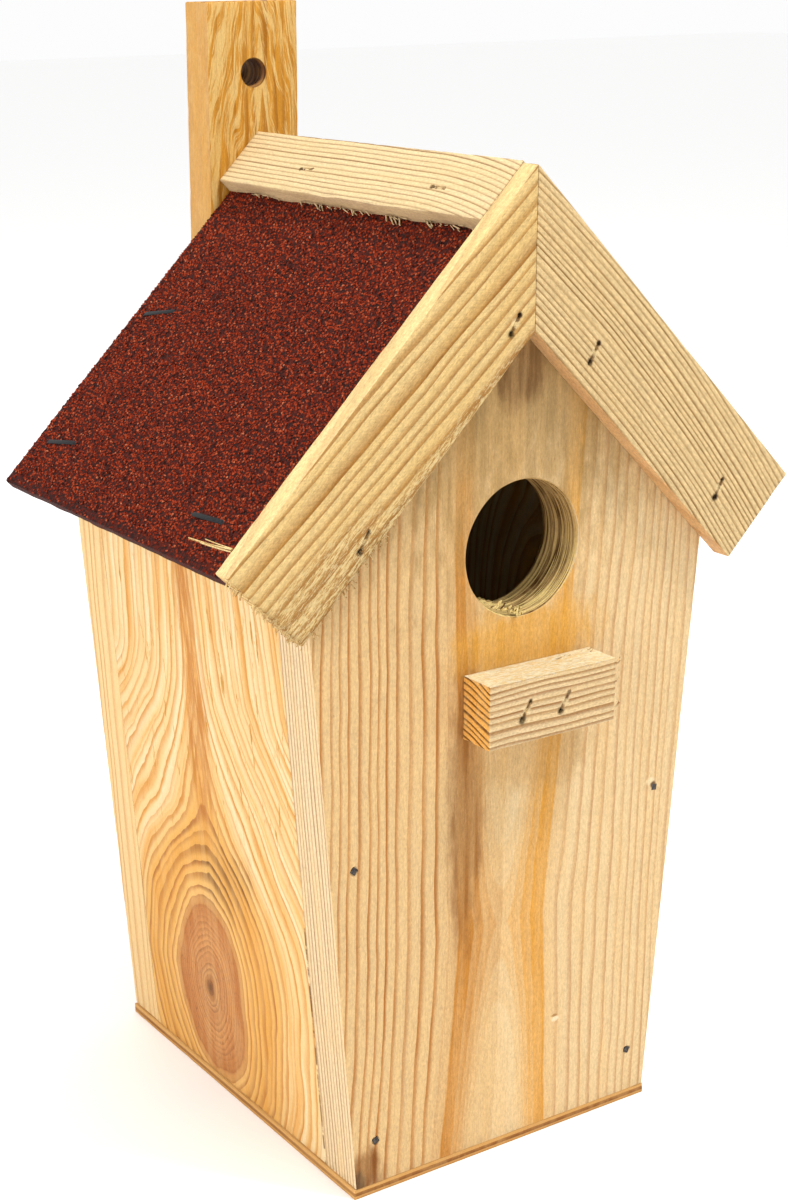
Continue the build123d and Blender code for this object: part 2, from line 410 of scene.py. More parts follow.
frontRings = {
    "middle": -4.0,  # where the pith passes under the floor end, and how it drifts with height
    "drift": 0.03,
    "pithDepth": 40.0,
    "pithTaper": 0.02,
    "turnHeight": 60.7,  # the height where the board comes nearest to the bark
    "firstRing": 2.6,  # where the rings outside the broad middle one begin
    "spacing": 1.9,
    "uneven": 1.1,
    "keep": 0.55,
    "width": 0.5,
    "leftStrength": 1.0,
    "rightStrength": 0.6,
    "otherSide": 50.0,  # shift of the right side's rings, so that the two sides differ
}


def flatSawnRings(tree, look, along, across, deep):
    rings = look["rings"]
    wander = cloud(tree, (along, across, deep), (55, 22, 22), detail=1.5) - 0.5
    fine = cloud(tree, (along, across, deep), (14, 5, 5), detail=2) - 0.5
    fromMiddle = across - rings["middle"] - along * rings["drift"] + wander * 3.2 + fine * 0.7
    offTurn = (along - rings["turnHeight"]).math("ABSOLUTE")
    depth = deep - offTurn * rings["pithTaper"] + rings["pithDepth"]
    radius = length(fromMiddle, depth) - rings["pithDepth"]
    onRight = fromMiddle.rise(-0.2, 0.2)
    grown = radius + onRight * rings["otherSide"]
    uneven = cloud(tree, (grown, grown, grown), (7.0, 9.0, 11.0), detail=0) * rings["uneven"]
    late = ringProfile(grown / rings["spacing"] + uneven, tree, rings["keep"], rings["width"])
    late = late * (onRight * (rings["rightStrength"] - rings["leftStrength"]) + rings["leftStrength"])
    late = late * radius.rise(rings["firstRing"], rings["firstRing"] + 0.8)
    heart = ramp(tree, radius, [
        (-1.9, 0.06), (-0.62, 0.0), (-0.42, 0.0), (-0.38, 0.20), (-0.20, 0.10), (-0.17, 0.38), (0.00, 0.28),
        (0.03, 0.62), (0.30, 0.48), (0.36, 0.84), (0.80, 0.62), (0.86, 1.0), (1.50, 0.84), (1.84, 1.0),
        (2.02, 0.28), (3.2, 0.10), (4.4, 0.0)])
    return late, heart, onRight


# ---- wood

def woodBase(name, look):
    material, tree, shader = newMaterial(name)
    along = measure(tree, look["origin"], look["along"])
    across = measure(tree, look["origin"], look["across"])
    deep = measure(tree, look["origin"], Vector(look["along"]).cross(Vector(look["across"])))
    if look.get("flip"):
        deep = deep * -1.0
    return material, tree, shader, along, across, deep


def woodFinish(tree, shader, look, along, across, deep, tone, late):
    # fibres, resin canals, sanded fuzz and saw marks on top of the ring colours
    coarse = cloud(tree, (along, across, deep), (42, 2.6, 2.6), detail=3, shift=3.1)
    fibre = cloud(tree, (along, across, deep), (7, 0.30, 0.30), detail=4, roughness=0.7, shift=7.7)
    canals = cloud(tree, (along, across, deep), (2.4, 0.26, 0.26), detail=2, roughness=0.7, shift=1.3)
    sand = cloud(tree, (along, across, deep), (0.85, 0.42, 0.42), detail=2, roughness=0.7, shift=5.5)
    tone = mixed(tree, coarse.rise(0.38, 0.66) * look["warmth"], tone, look["warm"])
    light = fibre.scaled(0.30, 0.70, 1 - look["fibre"], 1 + look["fibre"])
    light = light * sand.scaled(0.3, 0.7, 1 - look["sand"], 1 + look["sand"])
    tone = shaded(tree, tone, light)
    tone = mixed(tree, canals.rise(0.64, 0.74) * look["canals"], tone, look["canal"])
    for patch in look.get("torn", ()):
        # fibres that the saw lifted instead of cutting
        reach = length((along - patch["along"]) / patch["long"], (across - patch["across"]) / patch["wide"])
        lifted = cloud(tree, (along, across, deep), (1.9, 0.34, 0.34), detail=3, roughness=0.75, shift=4.4)
        where = reach.rise(0.5, 1.15).inverse()
        tone = mixed(tree, lifted.rise(0.50, 0.58) * where * 0.85, tone, look["tornShade"])
        tone = mixed(tree, lifted.rise(0.50, 0.40) * where * 0.6, tone, look["tornLight"])
        sand = sand + (lifted - 0.5) * where * 3.0
    tree.links.new(tone.socket, shader.inputs["Base Color"])
    rough = fibre.scaled(0.3, 0.7, look["roughness"] - 0.06, look["roughness"] + 0.08)
    tree.links.new(rough.socket, shader.inputs["Roughness"])
    height = fibre * 0.6 + sand * look["fuzz"] + late * look["raised"]
    if "saw" in look:
        strokes = cloud(tree, (along + across * look["sawSlant"], across, deep), (0.55, 22, 22), detail=2,
                        shift=2.2)
        height = height + strokes * look["saw"]
    bumped(tree, shader, height, look["bump"], 0.0003)
    shader.inputs["Specular IOR Level"].default_value = dullSheen


pine = {
    "warm": paint(243, 197, 128),
    "warmth": 0.3,
    "canal": paint(170, 106, 46),
    "canals": 0.45,
    "fibre": 0.09,
    "sand": 0.07,
    "fuzz": 0.35,
    "raised": 0.4,
    "roughness": 0.62,
    "bump": 0.7,
    "tornShade": paint(184, 130, 62),
    "tornLight": paint(250, 224, 168),
}


def uphill(run):
    return 1 if run.z > 0 else -1


def pitWoodAndPaintedShade(look):
    # painted shade in the pits over sunk staples, darkest at both ends of the crown, beside pale and brown
    # torn wood
    spots = []
    for group in look.get("stapled", ()):
        reach = fasteners[group]["crown"] / 2 - 0.5
        for centre, run, outward in fasteners[group]["spots"]:
            ends = ((-0.1, 1.3, paint(250, 226, 172), 0.6), (-0.55, 0.8, paint(112, 70, 30), 0.85),
                    (0.45, 0.7, paint(104, 62, 24), 0.85), (-1, 0.85, paint(60, 32, 12), 0.95),
                    (1, 1.2, paint(34, 18, 8), 0.97))
            for end, size, tone, strength in ends:
                place = centre - run * end * uphill(run) * reach * mm - Vector(look["origin"])
                size = size * look.get("markSize", 1.0)
                spots.append((place.dot(Vector(look["across"])) / mm, place.dot(Vector(look["along"])) / mm,
                              size, size, tone, strength))
    return spots


def colourSpots(tree, look, along, across, deep, tone):
    for x, z, halfWide, halfHigh, colour, strength in (*look.get("spots", ()), *pitWoodAndPaintedShade(look)):
        grain = min(3.0, halfWide)
        ragged = cloud(tree, (along, across, deep), (grain * 2.5, grain, grain), detail=3) - 0.5
        reach = length((across - x) / halfWide, (along - z) / halfHigh) + ragged * 0.9
        tone = mixed(tree, reach.rise(0.45, 1.1).inverse() * strength, tone, colour)
    return tone


def boreTone(tree, look, along, across, deep, tone):
    # end grain and cutter rings inside a round hole, with painted light making the lower wall paler
    bore = look["bore"]
    fromHole = length(across - bore["x"], along - bore["z"])
    rings = cloud(tree, (across, along, deep), (20, 20, 0.42), detail=3, roughness=0.65, shift=1.9)
    # the low tone is painted light on the bore's lower wall
    paintedLitLowerWall = (along - bore["z"]).rise(-bore["radius"], bore["radius"] * 0.4).inverse()
    wall = mixed(tree, rings.rise(0.43, 0.57), bore["shade"], mixed(tree, paintedLitLowerWall, bore["light"], bore["low"]))
    return mixed(tree, fromHole.rise(bore["radius"] + 0.22, bore["radius"] + 0.34).inverse(), tone, wall)


def frontWood(name, look):
    material, tree, shader, along, across, deep = woodBase(name, look)
    late, heart, onRight = flatSawnRings(tree, look, along, across, deep)
    # the board's long edges show much finer rings than its face
    edge = faceTurn(tree, (1, 0, 0)).rise(0.6, 0.85)
    fine = cloud(tree, (along, across, deep), (60, 30, 9), detail=1, shift=4.0) - 0.5
    edgeRings = ringProfile((deep + fine * 1.6) / look["edgeSpacing"], tree, 0.6, 0.6)
    tone = mixed(tree, onRight.inverse() * look["leftTan"], look["pale"], look["tan"])
    tone = mixed(tree, heart, tone, mixed(tree, onRight, look["heartLeft"], look["heartRight"]))
    tone = mixed(tree, late, tone, look["line"])
    tone = colourSpots(tree, look, along, across, deep, tone)
    side = mixed(tree, edgeRings * 0.85, look["edgePale"], look["edgeLine"])
    tone = mixed(tree, edge, tone, side)
    tone = boreTone(tree, look, along, across, deep, tone)
    woodFinish(tree, shader, look, along, across, deep, tone, late)
    return material


def plainWood(name, look):
    material, tree, shader, along, across, deep = woodBase(name, look)
    late = evenRings(tree, look, along, across, deep)
    tone = mixed(tree, late * look["contrast"], look["pale"], look["line"])
    if "flames" in look:
        # pale streaks that lean together upwards and end in ragged points
        swing = cloud(tree, (along, across, deep), (30, 9, 9), detail=2, shift=3.3) - 0.5
        leaning = (across - 2.0 + swing * 9.0).math("ABSOLUTE") + along * 0.15 + across * 0.1
        flame = cloud(tree, (along, leaning, deep), (20, 1.15, 6.0), detail=5, roughness=0.72, shift=9.4)
        tone = mixed(tree, flame.rise(0.44, 0.56) * 0.9, tone, look["flames"])
    if "endTone" in look:
        endFace = faceTurn(tree, look["along"]).rise(0.7, 0.9)
        endRings = mixed(tree, late.rise(0.2, 0.8) * 0.9, look["endTone"], look["endLine"])
        tone = mixed(tree, endFace, tone, endRings)
    # the board's edges take an edge tone: their own colour on most boards, painted light on the right
    # bargeboard's underside and the perch's top and bottom faces
    if "edgeToneAndPaintedLight" in look:
        edgeFace = faceTurn(tree, look["across"]).rise(0.7, 0.9)
        tone = mixed(tree, edgeFace * look["edgeCover"], tone, look["edgeToneAndPaintedLight"])
    # painted shade: faces that look forwards into the box are darkened to the inside tone
    if "inside" in look:
        paintedInnerShade = facing(tree, (0, 1, 0)).rise(-0.9, -0.6).inverse()
        tone = mixed(tree, paintedInnerShade * 0.9, tone, look["inside"])
    tone = colourSpots(tree, look, along, across, deep, tone)
    if "bore" in look:
        tone = boreTone(tree, look, along, across, deep, tone)
    woodFinish(tree, shader, look, along, across, deep, tone, late)
    return material


def knottyWood(name, look):
    material, tree, shader, along, across, deep = woodBase(name, look)
    knot = look["knot"]
    wander = cloud(tree, (along, across, deep), (34, 18, 18), detail=1.5) - 0.5
    ragged = cloud(tree, (along, across, deep), (9, 4, 4), detail=2, shift=6.0) - 0.5
    above = along - knot["height"]
    beyond = above.math("ABSOLUTE")
    lifted = above.math("MAXIMUM", 0.0)
    near = lifted.math("SMOOTH_MIN", knot["reach"], 12.0)
    sideways = across - knot["centre"] + near * knot["turnIn"] + lifted * 0.02
    steep = beyond.math("SMOOTH_MIN", knot["reach"], 12.0) * (knot["ratio"] - knot["taper"])
    rise = steep + beyond * knot["taper"]
    fromFace = along * look["lean"] + look["halfWidth"] - deep.math("ABSOLUTE")
    # round rings beside the knot turn into steep pointed arches above it
    power = beyond.rise(10, 92) * (knot["point"] - 2.0) + 2.0
    uneasy = sideways * (sideways.rise(-5, 5) * beyond.rise(10, 60) * knot["skew"] + 1.0)
    spread = uneasy.math("ABSOLUTE").math("MAXIMUM", 0.01).math("POWER", power)
    spread = spread + rise.math("ABSOLUTE").math("MAXIMUM", 0.01).math("POWER", power)
    radius = spread.math("POWER", power.math("POWER", -1.0))
    radius = radius + wander * 4.6 + ragged * 1.2 + fromFace * 0.25
    inside = radius.rise(knot["size"] - 2.0, knot["size"] + 1.6).inverse()
    uneven = cloud(tree, (radius, radius, radius), (6.0, 8.0, 11.0), detail=0) * 1.5
    knotRings = ringProfile(radius / 1.15, tree, 0.2, 0.8)
    bandRings = ringProfile(radius / 2.45 + uneven, tree, 0.35, 0.7)
    outerRings = ringProfile(radius / 2.9 + uneven, tree, 0.5, 0.62)
    outer = radius.rise(knot["size"] * 2.1, knot["size"] * 2.5)
    late = knotRings * inside * 0.6 + (bandRings * outer.inverse() + outerRings * outer) * inside.inverse()
    tone = ramp(tree, radius, look["tones"])
    lineTone = ramp(tree, radius, look["lineTones"])
    torn = cloud(tree, (along, across, deep), (15, 1.3, 1.3), detail=4, roughness=0.65, shift=2.6)
    broad = cloud(tree, (along, radius, deep), (50, 3.2, 8.0), detail=2, shift=8.8)
    tone = mixed(tree, broad.rise(0.5, 0.66) * inside.inverse() * 0.7, tone, look["blaze"])
    tone = mixed(tree, broad.rise(0.48, 0.34) * outer * 0.6, tone, look["milk"])
    tone = mixed(tree, late * look["contrast"], tone, lineTone)
    # resin runs up the board's middle from the knot
    reach = (sideways / knot["streak"] + wander * 1.6).math("ABSOLUTE")
    streak = reach.rise(0.25, 1.2).inverse() * above.rise(knot["reach"] - 8, knot["reach"] + 14)
    tone = mixed(tree, streak * torn.rise(0.30, 0.58) * 0.9, tone, look["resin"])
    dashes = torn.rise(0.61, 0.67) * above.rise(20, 60) * 0.9
    tone = mixed(tree, dashes, tone, look["dash"])
    # bruised rings over the knot, and dark checks at its heart
    bruise = length((across - knot["centre"] + 12) / 19, (above - 36) / 15) + ragged * 1.2
    tone = mixed(tree, bruise.rise(0.15, 1.1).inverse() * (late + 0.15) * 0.85, tone, look["bruise"])
    checks = cloud(tree, (along, across, deep), (1.4, 0.5, 0.5), detail=3, roughness=0.7, shift=8.0)
    tone = mixed(tree, checks.rise(0.56, 0.66) * inside * 0.5, tone, look["check"])
    # a shadow line where the board meets the front panel
    gap = cloud(tree, (along, along, along), (9, 13, 17), detail=4, roughness=0.7, shift=5.1)
    seam = (across - look["seamAt"]).math("ABSOLUTE").rise(0.15, 0.45).inverse()
    seam = seam * gap.rise(0.42, 0.52) * along.rise(95, 60)
    tone = mixed(tree, seam * 0.85, tone, look["seam"])
    woodFinish(tree, shader, look, along, across, deep, tone, late)
    return material


def plywood(name, look):
    material, tree, shader, along, across, deep = woodBase(name, look)
    plies = ramp(tree, deep + (cloud(tree, (along, across, deep), (30, 30, 3), detail=1) - 0.5) * 0.3,
                 look["plies"])
    late = evenRings(tree, look, along, across, deep)
    tone = mixed(tree, late * look["contrast"], look["pale"], look["line"])
    edge = faceTurn(tree, Vector(look["along"]).cross(Vector(look["across"]))).rise(0.5, 0.8).inverse()
    tone = mixed(tree, edge, tone, plies)
    woodFinish(tree, shader, look, along, across, deep, tone, late)
    return material


entranceCentre = sum(openings["entrance_hole"], Vector()) / 2
screwHole = Vector(mounts["batten_screw_hole"]["pos_m"])
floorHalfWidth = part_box("floor_plate")[1].x / mm - 0.5  # of the body, which the plate overhangs by 0.5 mm
sideLean = 0.084  # the side boards lean out by this share of their height
knotTones = [
    (0.0, paint(104, 58, 30)), (0.9, paint(160, 98, 52)), (3.0, paint(214, 152, 94)),
    (5.0, paint(198, 130, 76)), (9.0, paint(214, 146, 84)), (13.0, paint(200, 130, 72)),
    (15.8, paint(190, 118, 58)), (17.8, paint(238, 184, 110)), (22.0, paint(238, 184, 100)),
    (28.0, paint(230, 166, 78)), (33.0, paint(236, 178, 92)), (37.0, paint(244, 206, 142)),
    (62.0, paint(243, 210, 155)),
]
knotLines = [
    (0.0, paint(100, 54, 30)), (14.0, paint(146, 86, 48)), (19.0, paint(176, 104, 40)),
    (33.0, paint(170, 96, 36)), (38.0, paint(212, 138, 46)), (50.0, paint(210, 136, 44)),
    (62.0, paint(212, 142, 52)),
]
knotty = dict(
    pine, along=(0, 0, 1), across=(0, 1, 0), origin=(0, panelLow.y, 0), lean=sideLean,
    halfWidth=floorHalfWidth, contrast=0.95, warm=paint(247, 205, 138), warmth=0.2, fibre=0.07, sand=0.06,
    fuzz=0.2, bump=0.6,
    resin=paint(196, 124, 50), dash=paint(196, 134, 24), bruise=paint(104, 66, 30), check=paint(104, 58, 38),
    blaze=paint(236, 170, 84), milk=paint(250, 230, 190), seam=paint(92, 54, 24),
    seamAt=(panelHigh.y - panelLow.y) / mm + 0.3,
)

woods = {
    "frontPine": dict(
        pine, origin=(0, panelLow.y, 0), along=(0, 0, 1), across=(1, 0, 0), rings=frontRings, edgeSpacing=1.3,
        pale=paint(238, 207, 157), tan=paint(226, 188, 132), leftTan=0.75, line=paint(176, 104, 24),
        warm=paint(240, 196, 132), heartLeft=paint(200, 132, 48), heartRight=paint(226, 160, 62),
        edgePale=paint(238, 212, 170), edgeLine=paint(148, 90, 28), sand=0.14,
        spots=(
            # painted shade under the roof's gable
            (0.0, 220.0, 70.0, 84.0, paint(168, 132, 76), 0.8),
            # painted shade just under the apex
            (0.5, 195.0, 9.0, 11.0, paint(112, 70, 30), 0.85),
            # painted reflected light from the perch's top onto the panel above it
            (4.0, 131.0, 26.0, 10.0, paint(234, 168, 56), 0.8),
            (-13.5, 92.0, 5.6, 42.0, paint(150, 94, 38), 0.8),
            # painted shadow under the perch
            (8.0, 101.0, 20.0, 10.0, paint(196, 148, 82), 0.5),
            (-41.6, 6.2, 5.4, 8.4, paint(132, 74, 18), 0.97),
            (-44.0, 4.6, 2.6, 3.6, paint(64, 30, 8), 0.9),
            (15.2, 30.0, 1.7, 0.8, paint(252, 236, 200), 0.9),
            (14.7, 31.0, 1.3, 0.5, paint(150, 98, 44), 0.9),
            (43.4, 86.6, 1.9, 1.3, paint(252, 230, 186), 0.9),
            (44.4, 85.6, 1.2, 1.0, paint(70, 40, 18), 0.95),
        ),
        # the bore's low tone is painted light on its lower wall
        bore={"x": entranceCentre.x / mm, "z": entranceCentre.z / mm, "radius": 16.0,
              "shade": paint(100, 64, 26), "light": paint(208, 168, 104), "low": paint(255, 228, 150)},
    ),
    "leftPine": dict(
        knotty, tones=knotTones, lineTones=knotLines,
        knot={"centre": 64.0, "height": 28.2, "size": 17.0, "ratio": 0.673, "taper": 0.12, "reach": 47.0,
              "turnIn": 0.14, "streak": 5.0, "point": 0.85, "skew": -0.16},
    ),
    "rightPine": dict(
        knotty, tones=[(place * 0.5, tone) for place, tone in knotTones],
        lineTones=[(place * 0.5, tone) for place, tone in knotLines],
        knot={"centre": 38.0, "height": 118.0, "size": 8.5, "ratio": 0.6, "taper": 0.22, "reach": 24.0,
              "turnIn": -0.12, "streak": 3.5, "point": 1.0, "skew": 0.12},
    ),
    "backPine": dict(
        pine, origin=(0, 0, 0), along=(0, 0, 1), across=(1, 0, 0), contrast=0.9,
        # inside is painted shade on the panel's inner face
        pale=paint(243, 208, 152), line=paint(206, 142, 70), inside=paint(22, 12, 6),
        rings={"spacing": 2.4, "pithAcross": 9.0, "pithDeep": -34.0, "taper": 0.06, "lean": -0.05,
               "wander": 3.0, "keep": 0.5},
    ),
    "leftBargePine": dict(
        pine, origin=(0, bargeLow.y, ridge.z), along=(-slope, 0, -slope), across=(slope, 0, -slope),
        contrast=1.0,
        pale=paint(234, 200, 136), line=paint(158, 98, 16), warm=paint(222, 178, 102), fibre=0.12, sand=0.2,
        rings={"spacing": 3.0, "pithAcross": -60.0, "pithDeep": 22.0, "lean": 0.075, "wander": 2.4,
               "uneven": 1.5, "width": 0.62, "keep": 0.6},
        edgeToneAndPaintedLight=paint(250, 224, 166), edgeCover=0.55, canals=0.5, saw=0.7, sawSlant=0.9, bump=0.9, fuzz=0.6,
        stapled=("leftBargeStaples",),
        torn=({"along": 108.0, "across": 22.0, "long": 34.0, "wide": 10.0},
              {"along": 62.0, "across": 26.0, "long": 46.0, "wide": 4.0}),
    ),
    "rightBargePine": dict(
        pine, origin=(0, bargeLow.y, ridge.z), along=(slope, 0, -slope), across=(-slope, 0, -slope),
        contrast=0.95,
        pale=paint(232, 202, 148), line=paint(136, 90, 28), warm=paint(222, 186, 128), fibre=0.12, sand=0.2,
        rings={"spacing": 1.35, "pithAcross": -90.0, "pithDeep": 24.0, "bow": -0.0011, "bowAt": 42.0,
               "wander": 0.8, "uneven": 1.0, "width": 0.62, "keep": 0.55},
        stapled=("rightBargeStaples",),
        # the edge tone here is painted bounce light on the board's underside
        edgeToneAndPaintedLight=paint(232, 176, 120), edgeCover=0.75, saw=0.3, sawSlant=-0.8, bump=0.9, fuzz=0.5,
    ),
    "leftCapPine": dict(
        pine, origin=(0, panelLow.y, ridge.z), along=(0, 1, 0), across=(-slope, 0, -slope), contrast=0.85,
        pale=paint(232, 206, 158), line=paint(122, 72, 16), warm=paint(226, 194, 136), fibre=0.1, sand=0.14,
        rings={"spacing": 1.4, "pithAcross": -80.0, "pithDeep": 14.0, "hook": 0.0035, "hookAt": 30.0,
               "lean": 0.012, "wander": 1.0, "uneven": 0.8, "width": 0.5, "keep": 0.6},
        stapled=("leftCapStaples",), markSize=0.6, edgeToneAndPaintedLight=paint(212, 178, 136), edgeCover=0.85, fuzz=0.7,
    ),
    "perchPine": dict(
        pine, origin=(0, panelLow.y, 0.1256), along=(1, 0, 0), across=(0, 0, 1), contrast=0.95,
        pale=paint(236, 206, 158), line=paint(148, 92, 26), warm=paint(232, 196, 136), fibre=0.15, sand=0.2,
        rings={"spacing": 1.55, "pithAcross": -80.0, "pithDeep": -20.0, "wander": 3.6, "uneven": 1.0,
               "lean": -0.02, "width": 0.75, "keep": 0.7},
        stapled=("perchStaples",),
        # the pale edge tone here is painted light on the perch's top face
        endTone=paint(252, 184, 92), endLine=paint(84, 34, 4), edgeToneAndPaintedLight=paint(255, 240, 196), edgeCover=0.95,
        fuzz=0.8, bump=0.8, tornShade=paint(244, 206, 140), tornLight=paint(255, 250, 226),
        torn=({"along": 4.0, "across": 0.5, "long": 26.0, "wide": 1.2},),
    ),
    "battenPine": dict(
        pine, origin=(0, 0, 0), along=(0, 0, 1), across=(1, 0, 0), contrast=0.85, fibre=0.12, sand=0.09,
        pale=paint(206, 140, 40), line=paint(146, 86, 12), warm=paint(222, 164, 72), warmth=0.4,
        rings={"spacing": 2.4, "pithAcross": -60.0, "pithDeep": 90.0, "taper": 0.02, "wander": 3.0,
               "uneven": 1.4, "keep": 0.5, "width": 0.7},
        endTone=paint(216, 158, 76), endLine=paint(140, 84, 24),
        edgeToneAndPaintedLight=paint(214, 164, 100), edgeCover=0.85, flames=paint(232, 196, 126), fuzz=0.5,
        # the bore's low tone is painted light on its lower wall
        bore={"x": screwHole.x / mm, "z": screwHole.z / mm, "radius": 3.5, "shade": paint(74, 42, 22),
              "light": paint(128, 84, 50), "low": paint(176, 124, 78)},
    ),
}
woods["rightCapPine"] = dict(woods["leftCapPine"], across=(slope, 0, -slope), stapled=("rightCapStaples",))

floorPly = dict(
    pine, origin=(0, 0, 0), along=(0, 1, 0), across=(1, 0, 0), flip=True, contrast=0.5,
    pale=paint(222, 172, 106), line=paint(188, 130, 68), warm=paint(226, 178, 112),
    rings={"spacing": 7.0, "pithAcross": 10.0, "pithDeep": -60.0, "taper": 0.3, "wander": 9.0},
    plies=[(0.0, paint(206, 150, 82)), (0.82, paint(216, 160, 90)), (0.94, paint(140, 88, 38)),
           (1.74, paint(168, 110, 52)), (1.86, paint(222, 168, 98)), (2.7, paint(218, 164, 94))],
)


def deckPly(side):
    look = dict(floorPly, origin=ridge, across=(side * slope, 0, -slope), flip=side > 0)
    look["plies"] = [(place + deckDepth, tone) for place, tone in floorPly["plies"]]
    return look


deckDepth = (ridge.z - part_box("roof_deck_left")[1].z) * slope / mm

materials = {
    "frontPine": frontWood("frontPine", woods["frontPine"]),
    "leftPine": knottyWood("leftPine", woods["leftPine"]),
    "rightPine": knottyWood("rightPine", woods["rightPine"]),
    "floorPly": plywood("floorPly", floorPly),
    "leftDeckPly": plywood("leftDeckPly", deckPly(-1)),
    "rightDeckPly": plywood("rightDeckPly", deckPly(1)),
}
for woodName in ("backPine", "leftBargePine", "rightBargePine", "leftCapPine", "rightCapPine", "perchPine",
                 "battenPine"):
    materials[woodName] = plainWood(woodName, woods[woodName])
print("woods mixed:", len(materials))


# ---- boards cut from the frame's own sections

boards = {
    "frontPanelBoard": {"node": "front_panel", "wood": "frontPine", "slot": "pine_front", "cell": 3.6,
                        "edge": 0.45, "wear": 0.05, "nicks": 0.25},
    "backPanelBoard": {"node": "back_panel", "wood": "backPine", "slot": "pine_front", "cell": 4.5,
                       "edge": 0.45, "wear": 0.06, "nicks": 0.25},
}
for sideName in sides:
    boards[sideName + "SideBoard"] = {"node": sideName + "_side", "wood": sideName + "Pine",
                                      "slot": "pine_side", "cell": 3.6, "edge": 0.3, "wear": 0.05,
                                      "nicks": 0.2}
boards["floorPlateBoard"] = {"node": "floor_plate", "wood": "floorPly", "slot": "plywood", "cell": 4.0,
                             "edge": 0.25, "wear": 0.05, "nicks": 0.35}
roofBoards = {
    "DeckBoard": {"node": "roof_deck_", "wood": "DeckPly", "slot": "plywood", "cell": 4.0, "edge": 0.2,
                  "wear": 0.05, "nicks": 0.3},
    "CapStrip": {"node": "ridge_cap_", "wood": "CapPine", "slot": "pale_lath", "cell": 1.7, "edge": 0.3,
                 "wear": 0.08, "nicks": 0.4},
    "Bargeboard": {"node": "bargeboard_", "wood": "BargePine", "slot": "pine_trim", "cell": 2.2, "edge": 0.4,
                   "wear": 0.07, "nicks": 0.35},
}
for kind, look in roofBoards.items():
    for sideName, side in sides.items():
        boards[sideName + kind] = dict(look, node=look["node"] + sideName, wood=sideName + look["wood"],
                                       side=side)
boards["perchBlock"] = {"node": "perch_block", "wood": "perchPine", "slot": "pine_trim", "cell": 1.0,
                        "edge": 0.35, "wear": 0.08, "nicks": 0.45}
boards["hangingBatten"] = {"node": "mounting_batten", "wood": "battenPine", "slot": "pine_batten",
                           "cell": 3.0, "edge": 0.45, "wear": 0.06, "nicks": 0.3}


def loopArea(loop):
    return abs(sum(a[0] * b[1] - b[0] * a[1] for a, b in zip(loop, loop[1:] + loop[:1])))


def sectionOf(node):
    # the outline of the face that looks forwards, in order, read from the frame's mesh
    mesh = frame["nodes"][node].data
    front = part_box(node)[0].y
    follow = {}
    for polygon in mesh.polygons:
        corners = [mesh.vertices[index].co for index in polygon.vertices]
        if max(corner.y for corner in corners) - front > 0.02 * mm:
            continue
        keys = [(round(corner.x, 6), round(corner.z, 6)) for corner in corners]
        for first, second in zip(keys, keys[1:] + keys[:1]):
            if follow.get(second) and first in follow[second]:
                follow[second].remove(first)
            else:
                follow.setdefault(first, []).append(second)
    loops = []
    while any(follow.values()):
        start = next(key for key, nexts in follow.items() if nexts)
        loop = [start]
        here = follow[start].pop()
        while here != start:
            loop.append(here)
            here = follow[here].pop()
        loops.append(loop)
    return max(loops, key=loopArea)


def boardBody(outline, lowY, highY, edge, cell, directions):
    bm = bmesh.new()
    front = [bm.verts.new((x, lowY, z)) for x, z in outline]
    back = [bm.verts.new((x, highY, z)) for x, z in outline]
    bm.faces.new(front)
    bm.faces.new(back[::-1])
    for index in range(len(outline)):
        after = (index + 1) % len(outline)
        bm.faces.new((front[index], back[index], back[after], front[after]))
    bmesh.ops.dissolve_limit(bm, angle_limit=0.01, verts=bm.verts[:], edges=bm.edges[:])
    bmesh.ops.recalc_face_normals(bm, faces=bm.faces[:])
    bmesh.ops.bevel(bm, geom=bm.edges[:], offset=edge, segments=2, profile=0.6, affect="EDGES",
                    clamp_overlap=True)
    for direction in directions:
        reach = [vert.co.dot(direction) for vert in bm.verts]
        steps = max(1, round((max(reach) - min(reach)) / cell))
        for step in range(1, steps):
            level = min(reach) + (max(reach) - min(reach)) * step / steps
            geom = bm.verts[:] + bm.edges[:] + bm.faces[:]
            bmesh.ops.bisect_plane(bm, geom=geom, dist=1e-7, plane_co=direction * level, plane_no=direction)
    return bm


def wearBoard(bm, wear, nicks, seed):
    # broad hollows over the faces, and small nicks where two faces meet
    bm.normal_update()
    turned = {}
    for vert in bm.verts:
        steepest = min(abs(vert.normal.dot(face.normal)) for face in vert.link_faces)
        turned[vert.index] = 1.0 - steepest
    for vert in bm.verts:
        place = vert.co / mm + Vector((seed * 31.7, seed * 11.3, seed * 5.1))
        swell = noise.noise(place / 21) + 0.5 * noise.noise(place / 6)
        shift = swell * wear
        if turned[vert.index] > 0.03:
            shift -= max(0.0, noise.noise(place / 2.3) - 0.12) * nicks
        vert.co += vert.normal * shift * mm


def settle(piece):
    graph = bpy.context.evaluated_depsgraph_get()
    mesh = bpy.data.meshes.new_from_object(piece.evaluated_get(graph))
    piece.modifiers.clear()
    before = piece.data
    piece.data = mesh
    bpy.data.meshes.remove(before)
    mesh.name = piece.name


def carve(piece, cutter):
    modifier = piece.modifiers.new("carve", "BOOLEAN")
    modifier.operation = "DIFFERENCE"
    modifier.solver = "EXACT"
    modifier.use_self = True
    modifier.object = cutter
    settle(piece)
    bpy.data.objects.remove(cutter)


def smoothed(piece, degrees=38):
    piece.data.shade_smooth()
    piece.data.set_sharp_from_angle(angle=math.radians(degrees))


